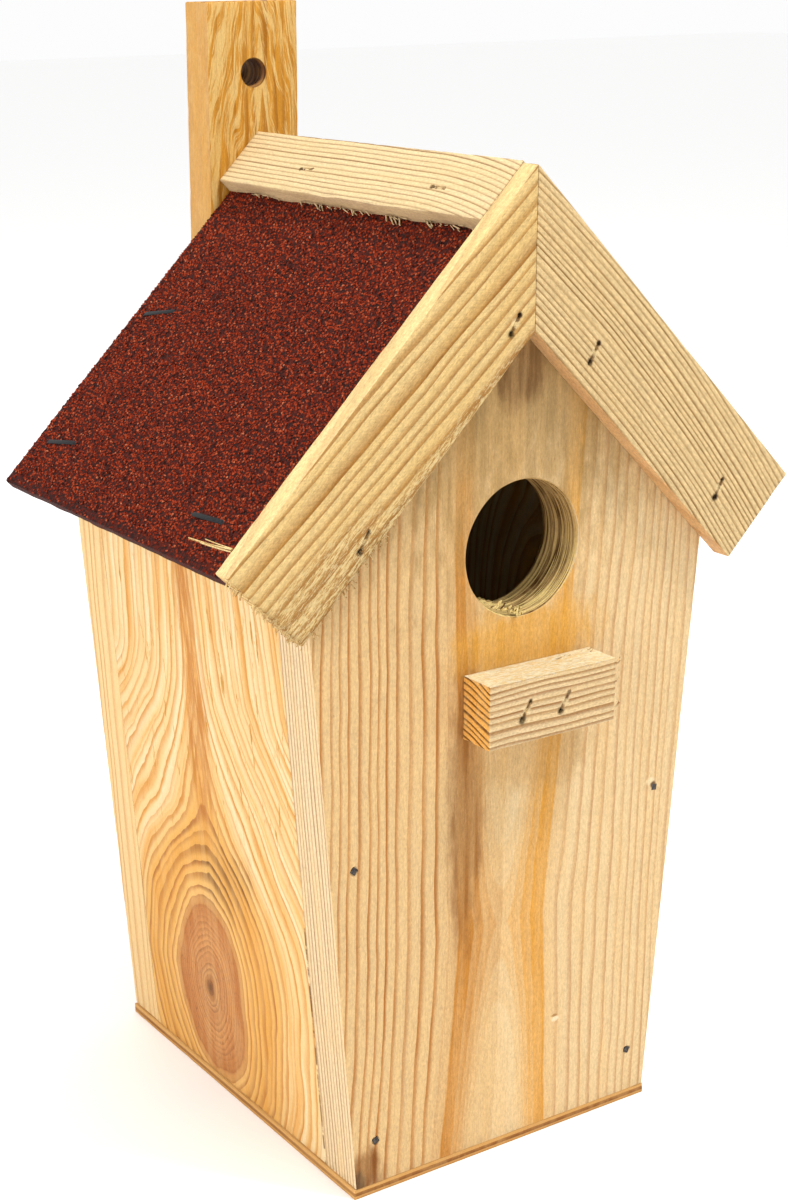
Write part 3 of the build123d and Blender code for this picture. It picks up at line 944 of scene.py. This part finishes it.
def makeBoard(name, look, seed):
    low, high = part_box(look["node"])
    side = look.get("side")
    if side:
        directions = [Vector((side * slope, 0, -slope)), Vector((side * slope, 0, slope)), Vector((0, 1, 0))]
    else:
        directions = [Vector((1, 0, 0)), Vector((0, 0, 1)), Vector((0, 1, 0))]
    outline = sectionOf(look["node"])
    bm = boardBody(outline, low.y, high.y, look["edge"] * mm, look["cell"] * mm, directions)
    if name.endswith("CapStrip"):
        tearLowerEdge(bm, side)
    wearBoard(bm, look["wear"], look["nicks"], seed)
    piece = addObject(name, bm)
    piece.data.materials.append(materials[look["wood"]])
    return piece


tornEdge = {"ragged": 0.9, "thin": 1.0, "reach": 2.6, "thick": 4.4}  # millimetres at the cap's lower edge


def tearLowerEdge(bm, side):
    down = Vector((side * slope, 0, -slope))
    square = Vector((side * slope, 0, slope))
    end = max((vert.co - ridge).dot(down) for vert in bm.verts)
    bottom = min((vert.co - ridge).dot(square) for vert in bm.verts)
    for vert in bm.verts:
        along = vert.co.y / mm
        near = max(0.0, 1 - (end - (vert.co - ridge).dot(down)) / (tornEdge["reach"] * mm))
        if near > 0:
            ragged = noise.noise(Vector((along / 17, 3.0 + side, 0)))
            ragged += 0.25 * noise.noise(Vector((along / 1.7, 7.0, side)))
            under = ((vert.co - ridge).dot(square) - bottom) / (tornEdge["thick"] * mm)
            vert.co += down * ragged * tornEdge["ragged"] * near * mm * (1.2 - 0.8 * under)
            thinned = max(0.0, noise.noise(Vector((along / 13, 1.0, side))))
            vert.co -= square * near * tornEdge["thin"] * mm * thinned * under


# ---- what is cut into the boards

entrance = {"radius": 16.0, "flare": 0.35, "ring": 0.55, "ripple": 0.16, "segments": 112}
battenHole = {"radius": mounts["batten_screw_hole"]["dims"]["r_mm"], "flare": 0.15, "ring": 0.9,
              "ripple": 0.12, "segments": 48}


def boreCutter(name, centreX, centreZ, lowY, highY, look, chip=None):
    # a rough bore: rings from the cutter, a soft rim at both faces
    bm = bmesh.new()
    thick = highY - lowY
    rings = []
    count = int(thick / mm / look["ring"])
    levels = [-1.2 * mm] + [thick * step / count for step in range(count + 1)] + [thick + 1.2 * mm]
    for number, level in enumerate(levels):
        outside = max(0.0, 0.45 * mm - level, level - thick + 0.45 * mm) / mm
        ring = []
        for step in range(look["segments"]):
            angle = 2 * math.pi * step / look["segments"]
            spot = Vector((math.cos(angle) * 6, math.sin(angle) * 6, level / mm))
            radius = look["radius"] + outside * look["flare"] / 0.45
            rough = noise.noise(Vector((number * 5.3, 0.7, 0))) + 0.8 * noise.noise(spot * Vector((0.5, 0.5,
                                                                                                   1.6)))
            radius += rough * look["ripple"]
            if chip:
                radius -= chip(math.degrees(angle), level / thick)
            ring.append(bm.verts.new((centreX + math.cos(angle) * radius * mm, lowY + level,
                                      centreZ + math.sin(angle) * radius * mm)))
        rings.append(ring)
    for near, far in zip(rings, rings[1:]):
        for step in range(look["segments"]):
            after = (step + 1) % look["segments"]
            bm.faces.new((near[step], near[after], far[after], far[step]))
    bm.faces.new(rings[0])
    bm.faces.new(rings[-1][::-1])
    bmesh.ops.recalc_face_normals(bm, faces=bm.faces[:])
    return addObject(name, bm)


def entranceChip(degrees, depth):
    # wood left standing at the bottom of the bore, where the cutter broke through
    low = math.exp(-((degrees - 252) / 17) ** 2) * math.exp(-((depth - 0.72) / 0.22) ** 2)
    return low * (1.5 + 1.2 * noise.noise(Vector((degrees / 5, depth * 9, 2.0))))


def battenChip(degrees, depth):
    # fibres torn loose where the drill came out at the back
    turn = (degrees - 335 + 180) % 360 - 180
    torn = math.exp(-(turn / 42) ** 2) * math.exp(-((depth - 0.96) / 0.12) ** 2)
    return torn * (1.1 + 0.6 * noise.noise(Vector((degrees / 6, depth * 7, 5.0))))


pits = {"sink": 0.8, "deep": 1.5, "wide": 0.62, "groove": 0.5}


def pitCutter(name, spots, crown, seed):
    # torn pits at both ends of a staple's crown, with a shallow groove between them
    bm = bmesh.new()
    for number, (centre, run, outward) in enumerate(spots):
        across = outward.cross(run)
        for end in (-1, 0, 1):
            deep = pits["deep"] if end else pits["groove"]
            long = 0.8 if end else crown / 2
            wide = pits["wide"] if end else 0.5
            if end == uphill(run):
                deep, long, wide = deep * 0.7, long * 0.75, wide * 0.8
            ball = bmesh.ops.create_icosphere(bm, subdivisions=2, radius=1)["verts"]
            for vert in ball:
                jag = 1 + 0.7 * noise.noise(vert.co * 1.7 + Vector((seed * 3.1 + number, end * 2.7, 0)))
                local = vert.co * jag
                middle = centre + (run * end * (crown / 2 - 0.5) + outward * pits["sink"]) * mm
                stretched = run * local.x * long + across * local.y * wide + outward * local.z * deep
                vert.co = middle + stretched * mm
    bmesh.ops.recalc_face_normals(bm, faces=bm.faces[:])
    return addObject(name, bm)


rim = {"along": 1.25, "across": 1.15, "deep": 0.35}


def bradPits(name, spots):
    # a crushed rim round each brad's head
    bm = bmesh.new()
    for number, (centre, run, outward) in enumerate(spots):
        ball = bmesh.ops.create_icosphere(bm, subdivisions=2, radius=1)["verts"]
        across = outward.cross(run)
        for vert in ball:
            jag = 1 + 0.3 * noise.noise(vert.co * 1.5 + Vector((number * 4.4, 0, 0)))
            local = vert.co * jag
            stretched = run * local.x * rim["along"] + across * local.y * rim["across"]
            stretched += outward * local.z * rim["deep"]
            vert.co = centre + stretched * mm
    bmesh.ops.recalc_face_normals(bm, faces=bm.faces[:])
    return addObject(name, bm)


made = {}
for seed, (name, look) in enumerate(boards.items()):
    made[name] = makeBoard(name, look, seed)
print("boards cut:", len(made))

carve(made["frontPanelBoard"], boreCutter("entranceCutter", entranceCentre.x, entranceCentre.z, panelLow.y,
                                          panelHigh.y, entrance, entranceChip))
battenLow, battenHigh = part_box("mounting_batten")
carve(made["hangingBatten"], boreCutter("screwHoleCutter", screwHole.x, screwHole.z, battenLow.y,
                                        battenHigh.y, battenHole, battenChip))
pitted = {
    "perchBlock": ("perchStaples",),
    "leftBargeboard": ("leftBargeStaples",),
    "rightBargeboard": ("rightBargeStaples",),
    "leftCapStrip": ("leftCapStaples",),
    "rightCapStrip": ("rightCapStaples",),
}
for seed, (board, groups) in enumerate(pitted.items()):
    for group in groups:
        carve(made[board], pitCutter(group + "Cutter", fasteners[group]["spots"], fasteners[group]["crown"],
                                     seed))
for board, group in (("frontPanelBoard", "frontBrads"), ("backPanelBoard", "backBrads"),
                     ("hangingBatten", "battenBrads")):
    carve(made[board], bradPits(group + "Cutter", fasteners[group]["spots"]))
for name, look in boards.items():
    smoothed(made[name])
    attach(made[name], "root")
    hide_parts(look["node"])
print("holes and pits cut")


# ---- geometry node helpers

def addNode(tree, kind, values=None, **settings):
    node = tree.nodes.new(kind)
    for key, value in settings.items():
        setattr(node, key, value)
    for key, value in (values or {}).items():
        socket = node.inputs[key]
        if isinstance(value, bpy.types.NodeSocket):
            tree.links.new(value, socket)
        else:
            socket.default_value = value
    return node


def newTree(name, inputs):
    tree = bpy.data.node_groups.new(name, "GeometryNodeTree")
    tree.interface.new_socket("Geometry", in_out="INPUT", socket_type="NodeSocketGeometry")
    for label, (kind, value) in inputs.items():
        socket = tree.interface.new_socket(label, in_out="INPUT", socket_type=kind)
        if value is not None:
            socket.default_value = value
    tree.interface.new_socket("Geometry", in_out="OUTPUT", socket_type="NodeSocketGeometry")
    return tree, tree.nodes.new("NodeGroupInput").outputs, tree.nodes.new("NodeGroupOutput")


def sumNode(tree, operation, first, second=0.0, third=0.0):
    node = tree.nodes.new("ShaderNodeMath")
    node.operation = operation
    for socket, value in zip(node.inputs, (first, second, third)):
        if isinstance(value, bpy.types.NodeSocket):
            tree.links.new(value, socket)
        else:
            socket.default_value = value
    return node.outputs[0]


def vectorNode(tree, x, y, z):
    return addNode(tree, "ShaderNodeCombineXYZ", {"X": x, "Y": y, "Z": z}).outputs[0]


def closeTree(tree, geometry, materialSocket, output):
    solid = addNode(tree, "GeometryNodeRealizeInstances", {"Geometry": geometry})
    finish = addNode(tree, "GeometryNodeSetMaterial", {"Geometry": solid.outputs[0],
                                                       "Material": materialSocket})
    tree.links.new(finish.outputs[0], output.inputs[0])


def grow(piece, tree, values):
    # runs a node tree on a piece and keeps the result as its plain mesh
    modifier = piece.modifiers.new(tree.name, "NODES")
    modifier.node_group = tree
    for item in tree.interface.items_tree:
        if item.item_type == "SOCKET" and item.in_out == "INPUT" and item.name in values:
            modifier[item.identifier] = values[item.name]
    settle(piece)
    return piece


def turnedPoints(name, spots):
    # one vertex per fastener, with the turn that lays local X on its crown and local Z outwards
    bm = bmesh.new()
    for centre, run, outward in spots:
        bm.verts.new(centre)
    piece = addObject(name, bm)
    turns = piece.data.attributes.new("turn", "FLOAT_VECTOR", "POINT")
    for number, (centre, run, outward) in enumerate(spots):
        matrix = Matrix((run, outward.cross(run), outward)).transposed()
        turns.data[number].vector = matrix.to_euler()
    return piece


def fastenerTree(name, inputs, shape):
    tree, given, output = newTree(name, dict(inputs, Material=("NodeSocketMaterial", None)))
    points = addNode(tree, "GeometryNodeMeshToPoints", {"Mesh": given["Geometry"]})
    turn = addNode(tree, "GeometryNodeInputNamedAttribute", {"Name": "turn"}, data_type="FLOAT_VECTOR")
    turned = addNode(tree, "FunctionNodeEulerToRotation", {"Euler": turn.outputs["Attribute"]})
    place = {"Points": points.outputs[0], "Instance": shape(tree, given), "Rotation": turned.outputs[0]}
    if "Seed" in inputs:
        # sockets 2 and 3 are the smallest and largest number, and output 1 is the number drawn
        size = addNode(tree, "FunctionNodeRandomValue", {"Seed": given["Seed"]}, data_type="FLOAT")
        size.inputs[2].default_value = 0.3
        size.inputs[3].default_value = 1.2
        place["Scale"] = size.outputs[1]
    placed = addNode(tree, "GeometryNodeInstanceOnPoints", place)
    closeTree(tree, placed.outputs[0], given["Material"], output)
    return tree


def stapleShape(tree, given):
    # four points in a row are bent into legs and crown, rounded, and given a flat wire's section
    row = addNode(tree, "GeometryNodeMeshLine", {"Count": 4})
    index = addNode(tree, "GeometryNodeInputIndex").outputs[0]
    fromMiddle = sumNode(tree, "SUBTRACT", index, 1.5)
    half = sumNode(tree, "MULTIPLY", sumNode(tree, "SUBTRACT", given["Crown"], given["Wire Thickness"]), 0.5)
    x = sumNode(tree, "MULTIPLY", sumNode(tree, "SIGN", fromMiddle), half)
    isFoot = sumNode(tree, "GREATER_THAN", sumNode(tree, "ABSOLUTE", fromMiddle), 1.0)
    foot = sumNode(tree, "MULTIPLY", isFoot, given["Leg"])
    halfWire = sumNode(tree, "MULTIPLY", given["Wire Thickness"], -0.5)
    z = sumNode(tree, "SUBTRACT", halfWire, foot)
    bent = addNode(tree, "GeometryNodeSetPosition", {
        "Geometry": row.outputs[0], "Position": vectorNode(tree, x, 0, z)})
    wire = addNode(tree, "GeometryNodeMeshToCurve", {"Mesh": bent.outputs[0]})
    rounded = addNode(tree, "GeometryNodeFilletCurve", {"Curve": wire.outputs[0], "Count": 4,
                                                        "Radius": given["Bend"], "Limit Radius": True},
                      mode="POLY")
    section = addNode(tree, "GeometryNodeCurvePrimitiveQuadrilateral",
                      {"Width": given["Wire Thickness"], "Height": given["Wire Width"]})
    soft = addNode(tree, "GeometryNodeFilletCurve", {"Curve": section.outputs[0], "Count": 2,
                                                     "Radius": given["Edge"]}, mode="POLY")
    solid = addNode(tree, "GeometryNodeCurveToMesh", {"Curve": rounded.outputs[0],
                                                      "Profile Curve": soft.outputs[0], "Fill Caps": True})
    return solid.outputs[0]


def bradShape(tree, given):
    head = addNode(tree, "GeometryNodeMeshCylinder", {
        "Vertices": 4, "Radius": given["Head Radius"], "Depth": given["Head Depth"]})
    lowered = addNode(tree, "GeometryNodeTransform", {
        "Geometry": head.outputs["Mesh"],
        "Translation": vectorNode(tree, 0, 0, sumNode(tree, "MULTIPLY", given["Head Depth"], -0.45))})
    shank = addNode(tree, "GeometryNodeMeshCylinder", {
        "Vertices": 12, "Radius": given["Shank Radius"], "Depth": given["Length"]})
    shankDown = addNode(tree, "GeometryNodeTransform", {
        "Geometry": shank.outputs["Mesh"],
        "Translation": vectorNode(tree, 0, 0, sumNode(tree, "MULTIPLY", given["Length"], -0.5))})
    both = addNode(tree, "GeometryNodeJoinGeometry")
    tree.links.new(shankDown.outputs[0], both.inputs[0])
    tree.links.new(lowered.outputs[0], both.inputs[0])
    return both.outputs[0]


def metal(name, look):
    material, tree, shader = newMaterial(name)
    place = measureAll(tree)
    dull = cloud(tree, place, (0.5, 0.5, 0.5), detail=4, roughness=0.65)
    tone = mixed(tree, dull.rise(0.4, 0.62), look["dark"], look["light"])
    tree.links.new(tone.socket, shader.inputs["Base Color"])
    rough = dull.scaled(0.3, 0.7, look["rough"] - 0.1, look["rough"] + 0.15)
    tree.links.new(rough.socket, shader.inputs["Roughness"])
    shader.inputs["Metallic"].default_value = look["metallic"]
    bumped(tree, shader, dull, 0.4, 0.00006)
    return material


wire = {"brightSteel": {"dark": paint(52, 46, 44), "light": paint(98, 92, 88), "rough": 0.5, "metallic": 0.7},
        "darkSteel": {"dark": paint(12, 12, 14), "light": paint(40, 40, 44), "rough": 0.45, "metallic": 0.6}}
wireMaterials = {name: metal(name, look) for name, look in wire.items()}
socketFloat = "NodeSocketFloat"
stapleTree = fastenerTree("stapleTree", {
    "Crown": (socketFloat, 0.0056), "Leg": (socketFloat, 0.014), "Bend": (socketFloat, 0.0006),
    "Edge": (socketFloat, 0.00012), "Wire Width": (socketFloat, 0.0012),
    "Wire Thickness": (socketFloat, 0.0006),
}, stapleShape)
bradTree = fastenerTree("bradTree", {
    "Head Radius": (socketFloat, 0.0011), "Head Depth": (socketFloat, 0.0005),
    "Shank Radius": (socketFloat, 0.0006), "Length": (socketFloat, 0.028),
}, bradShape)
for name, look in fasteners.items():
    piece = turnedPoints(name, look["spots"])
    dark = look.get("finish") == "dark"
    finish = wireMaterials["darkSteel" if dark else "brightSteel"]
    if look["kind"] == "staple":
        grow(piece, stapleTree, {"Crown": look["crown"] * mm, "Leg": look["length"] * mm, "Material": finish})
    else:
        grow(piece, bradTree, {"Length": look["length"] * mm, "Material": finish})
    smoothed(piece)
    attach(piece, "root")
    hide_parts(look["node"])
print("fasteners driven")


# ---- slivers left standing along torn edges

def sliverShape(tree, given):
    # a row of points bent into an arc, thick at its root and thin at its tip
    row = addNode(tree, "GeometryNodeMeshLine", {"Count": 5})
    step = sumNode(tree, "DIVIDE", addNode(tree, "GeometryNodeInputIndex").outputs[0], 4.0)
    curl = sumNode(tree, "MULTIPLY", sumNode(tree, "MULTIPLY", step, step), given["Curl"])
    spot = vectorNode(tree, sumNode(tree, "MULTIPLY", step, given["Length"]), 0, curl)
    bent = addNode(tree, "GeometryNodeSetPosition", {"Geometry": row.outputs[0], "Position": spot})
    curve = addNode(tree, "GeometryNodeMeshToCurve", {"Mesh": bent.outputs[0]})
    thin = sumNode(tree, "SUBTRACT", 1.0, sumNode(tree, "MULTIPLY", step, 0.85))
    tapered = addNode(tree, "GeometryNodeSetCurveRadius", {"Curve": curve.outputs[0], "Radius": thin})
    section = addNode(tree, "GeometryNodeCurvePrimitiveQuadrilateral",
                      {"Width": given["Thickness"], "Height": sumNode(tree, "MULTIPLY", given["Thickness"],
                                                                      1.8)})
    solid = addNode(tree, "GeometryNodeCurveToMesh", {"Curve": tapered.outputs[0],
                                                      "Profile Curve": section.outputs[0], "Fill Caps": True})
    return solid.outputs[0]


sliverTree = fastenerTree("sliverTree", {
    "Length": (socketFloat, 0.002), "Curl": (socketFloat, 0.0006), "Thickness": (socketFloat, 0.0002),
    "Seed": ("NodeSocketInt", 4),
}, sliverShape)


def fringe(look):
    # slivers scattered along an edge, each leaning its own way
    chooser = random.Random(look["seed"])
    spots = []
    for number in range(look["count"]):
        drift = Vector([chooser.uniform(-1, 1) * value for value in look["spread"]]) * mm
        lean = Vector([chooser.uniform(-1, 1) * look["loose"] for axis in range(3)])
        run = (Vector(look["lean"]).normalized() + lean).normalized()
        outward = Vector(look["outward"])
        outward = (outward - run * outward.dot(run)).normalized()
        spots.append((look["start"].lerp(look["finish"], chooser.random()) + drift, run, outward))
    return spots


def joinOnto(board, extra):
    bm = bmesh.new()
    bm.from_mesh(board.data)
    bm.from_mesh(extra.data)
    bm.to_mesh(board.data)
    bm.free()
    bpy.data.objects.remove(extra)


perchLow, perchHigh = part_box("perch_block")
capLow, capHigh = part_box("ridge_cap_left")
bargeLength = -bargeLow.x / slope
bargeWidth = (ridge.z - bargeLow.z) / slope - bargeLength
downLeft = Vector((-slope, 0, -slope))
inward = Vector((slope, 0, -slope))
bargeTip = Vector((0, bargeLow.y, ridge.z)) + downLeft * bargeLength
bargeRear = bargeTip + Vector((0, bargeHigh.y - bargeLow.y, 0))
bargeCorner = bargeTip + inward * (bargeWidth - 0.1 * mm)
capEdge = Vector((capLow.x, capLow.y, ridge.z + capLow.x)) + inward * 3.2 * mm  # its lower corner on the felt
slivers = {
    "bargeEndSlivers": {
        "board": "leftBargeboard", "start": bargeTip, "finish": bargeTip + inward * bargeWidth, "count": 46,
        "spread": (0.2, 0.2, 0.2), "lean": downLeft, "loose": 0.5, "outward": (0, -1, 0), "seed": 3,
        "length": 1.5, "curl": 0.4, "thick": 0.16},
    "bargeLowerSlivers": {
        "board": "leftBargeboard", "start": bargeCorner, "finish": bargeCorner - downLeft * 40 * mm,
        "count": 40,
        "spread": (0.3, 0.2, 0.3), "lean": (0.2, -0.3, -1.0), "loose": 0.6, "outward": (0, -1, 0), "seed": 8,
        "length": 1.2, "curl": 0.4, "thick": 0.14},
    "bargeSplinter": {
        "board": "leftBargeboard", "start": bargeRear - downLeft * 6.4 * mm,
        "finish": bargeRear - downLeft * 5.6 * mm, "count": 3, "spread": (0.1, 0.2, 0.1),
        "lean": (-0.22, 1.0, -0.06), "loose": 0.06, "outward": (-slope, 0, slope), "seed": 5,
        "length": 10.5, "curl": 1.2, "thick": 0.24},
    "perchTopSlivers": {
        "board": "perchBlock", "start": Vector((perchHigh.x - 14 * mm, perchHigh.y - 4 * mm, perchHigh.z)),
        "finish": perchHigh - Vector((0, 4 * mm, 0)), "count": 7, "spread": (0.5, 3.5, 0.0),
        "lean": (1.0, -0.2, 0.25), "loose": 0.5, "outward": (0, 0, 1), "seed": 13, "length": 1.3,
        "curl": 0.5, "thick": 0.12},
    "perchRightSlivers": {
        "board": "perchBlock", "start": Vector((perchHigh.x, perchLow.y, perchHigh.z)),
        "finish": Vector((perchHigh.x, perchLow.y, perchLow.z)), "count": 9, "spread": (0.1, 0.2, 0.5),
        "lean": (1.0, -0.1, 0.3), "loose": 0.6, "outward": (0, 0, 1), "seed": 21, "length": 1.8, "curl": 0.7,
        "thick": 0.18},
    "capSlivers": {
        "board": "leftCapStrip", "start": capEdge, "finish": capEdge + Vector((0, capHigh.y - capLow.y, 0)),
        "count": 70, "spread": (0.3, 0.2, 0.3), "lean": (-0.3, -1.0, -0.3), "loose": 0.3,
        "outward": (-slope, 0, slope), "seed": 17, "length": 3.0, "curl": 0.5, "thick": 0.2},
    "entranceSlivers": {
        "board": "frontPanelBoard", "start": entranceCentre + Vector((-9.0, -6.0, -13.0)) * mm,
        "finish": entranceCentre + Vector((-1.0, -6.0, -15.6)) * mm, "count": 26, "spread": (0.3, 1.4, 0.3),
        "lean": (0.5, -0.5, 0.5), "loose": 0.8, "outward": (0, 0, 1), "seed": 34, "length": 2.2, "curl": 0.8,
        "thick": 0.22},
}
for name, look in slivers.items():
    piece = turnedPoints(name, fringe(look))
    grow(piece, sliverTree, {"Length": look["length"] * mm, "Curl": look["curl"] * mm,
                             "Thickness": look["thick"] * mm, "Seed": look["seed"],
                             "Material": made[look["board"]].data.materials[0]})
    joinOnto(made[look["board"]], piece)
print("slivers grown:", len(slivers))


# ---- roofing felt

felt = {
    "cell": 2.4,
    "edgeWander": 0.16,
    "swell": 0.16,
    "edgeReach": 4.0,
    "underCap": 4.0,  # the grit goes on this far beneath the ridge cap
    "eaveMargin": 2.2,  # the strip along the eave that has lost most of its grit
    "eaveCover": 0.25,
    "density": 2.05e6,
    "stone": 0.00038,
    "bitumen": paint(34, 10, 6),
    "gritShade": paint(92, 26, 10),
    "smear": paint(12, 11, 12),
}


def feltBase(look):
    material, tree, shader = newMaterial("feltBitumen")
    place = measureAll(tree)
    grit = cloud(tree, place, (0.7, 0.7, 0.7), detail=3, roughness=0.7)
    tone = mixed(tree, grit.rise(0.42, 0.6), look["bitumen"], look["gritShade"])
    tree.links.new(tone.socket, shader.inputs["Base Color"])
    tree.links.new(grit.scaled(0.3, 0.7, 0.6, 0.9).socket, shader.inputs["Roughness"])
    bumped(tree, shader, grit, 0.8, 0.0004)
    shader.inputs["Specular IOR Level"].default_value = dullSheen
    return material


def stoneFinish(name):
    material, tree, shader = newMaterial(name)
    tint = tree.nodes.new("ShaderNodeAttribute")
    tint.attribute_name = "tint"
    place = measureAll(tree)
    tone = ramp(tree, Signal(tree, tint.outputs["Fac"]), [
        (0.0, paint(30, 8, 4)), (0.12, paint(70, 18, 6)), (0.20, paint(118, 34, 12)),
        (0.50, paint(140, 46, 20)),
        (0.78, paint(156, 60, 30)), (0.94, paint(164, 68, 38)), (1.0, paint(188, 106, 72))])
    speck = cloud(tree, place, (0.25, 0.25, 0.25), detail=2)
    patch = cloud(tree, place, (9, 9, 9), detail=2)
    light = speck.scaled(0.3, 0.7, 0.8, 1.2) * patch.scaled(0.3, 0.7, 0.9, 1.1)
    tree.links.new(shaded(tree, tone, light).socket, shader.inputs["Base Color"])
    tree.links.new(speck.scaled(0.3, 0.7, 0.7, 0.9).socket, shader.inputs["Roughness"])
    shader.inputs["Specular IOR Level"].default_value = 0.08
    return material


def gritShape(tree, given):
    stone = addNode(tree, "GeometryNodeMeshUVSphere", {"Segments": 4, "Rings": 2,
                                                       "Radius": given["Stone Radius"]})
    return stone.outputs["Mesh"]


def makeGritTree():
    tree, given, output = newTree("gritTree", {
        "Density": (socketFloat, 1.5e6), "Stone Radius": (socketFloat, 0.0005), "Seed": ("NodeSocketInt", 3),
        "Material": ("NodeSocketMaterial", None)})
    cover = addNode(tree, "GeometryNodeInputNamedAttribute", {"Name": "cover"}, data_type="FLOAT")
    density = sumNode(tree, "MULTIPLY", given["Density"], cover.outputs["Attribute"])
    spread = addNode(tree, "GeometryNodeDistributePointsOnFaces", {
        "Mesh": given["Geometry"], "Density": density, "Seed": given["Seed"]}, distribute_method="RANDOM")
    size = addNode(tree, "FunctionNodeRandomValue", {"Min": (0.55, 0.55, 0.4), "Max": (1.35, 1.35, 0.95)},
                   data_type="FLOAT_VECTOR")
    spin = addNode(tree, "FunctionNodeRandomValue", {"Min": (-0.7, -0.7, 0.0), "Max": (0.7, 0.7, 6.283)},
                   data_type="FLOAT_VECTOR")
    placed = addNode(tree, "GeometryNodeInstanceOnPoints", {
        "Points": spread.outputs["Points"], "Instance": gritShape(tree, given),
        "Rotation": spread.outputs["Rotation"], "Scale": size.outputs["Value"]})
    turned = addNode(tree, "GeometryNodeRotateInstances", {
        "Instances": placed.outputs[0], "Rotation": spin.outputs["Value"]})
    tint = addNode(tree, "FunctionNodeRandomValue", {"Min": 0.0, "Max": 1.0}, data_type="FLOAT")
    stored = addNode(tree, "GeometryNodeStoreNamedAttribute", {
        "Geometry": turned.outputs[0], "Name": "tint", "Value": tint.outputs[1]},
        data_type="FLOAT", domain="INSTANCE")
    closeTree(tree, stored.outputs[0], given["Material"], output)
    return tree


def makeFelt(sideName, side, look):
    node = "roof_felt_" + sideName
    low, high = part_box(node)
    down = Vector((side * slope, 0, -slope))
    square = Vector((side * slope, 0, slope))
    bm = boardBody(sectionOf(node), low.y, high.y, 0.5 * mm, look["cell"] * mm, [down, Vector((0, 1, 0))])
    end = max((vert.co - ridge).dot(down) for vert in bm.verts)
    for vert in bm.verts:
        place = vert.co / mm + Vector((side * 40, 0, 0))
        near = max(0.0, 1 - (end - (vert.co - ridge).dot(down)) / (look["edgeReach"] * mm))
        vert.co += square * noise.noise(place / 17) * look["swell"] * mm
        wander = noise.noise(place / 8) + 0.7 * noise.noise(place / 2.4)
        vert.co += down * wander * look["edgeWander"] * near * mm
    bm.normal_update()
    sheet = addObject(sideName + "FeltSheet", bm)
    sheet.data.materials.append(bitumen)
    smoothed(sheet, 30)
    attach(sheet, "root")
    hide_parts(node)
    grit = bpy.data.objects.new(sideName + "FeltGrit", sheet.data.copy())
    bpy.context.scene.collection.objects.link(grit)
    cover = grit.data.attributes.new("cover", "FLOAT", "FACE")
    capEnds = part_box("ridge_cap_" + sideName)
    capReach = max((Vector((corner.x, 0, capEnds[0].z)) - ridge).dot(down) for corner in capEnds)
    for polygon in grit.data.polygons:
        along = (polygon.center - ridge).dot(down)
        upwards = polygon.normal.dot(square)
        covered = 1.0 if upwards > 0.8 and along > capReach - look["underCap"] * mm else 0.0
        if upwards > 0.8 and end - along < look["eaveMargin"] * mm:
            covered = look["eaveCover"]
        cover.data[polygon.index].value = covered
    grow(grit, gritTree, {"Density": look["density"], "Stone Radius": look["stone"], "Seed": 5 + side,
                          "Material": stones})
    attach(grit, "root")
    return sheet, grit


bitumen = feltBase(felt)
stones = stoneFinish("feltStones")
gritTree = makeGritTree()
for sideName, side in sides.items():
    sheet, grit = makeFelt(sideName, side, felt)
    print(sideName, "felt laid,", len(grit.data.polygons), "grit faces")
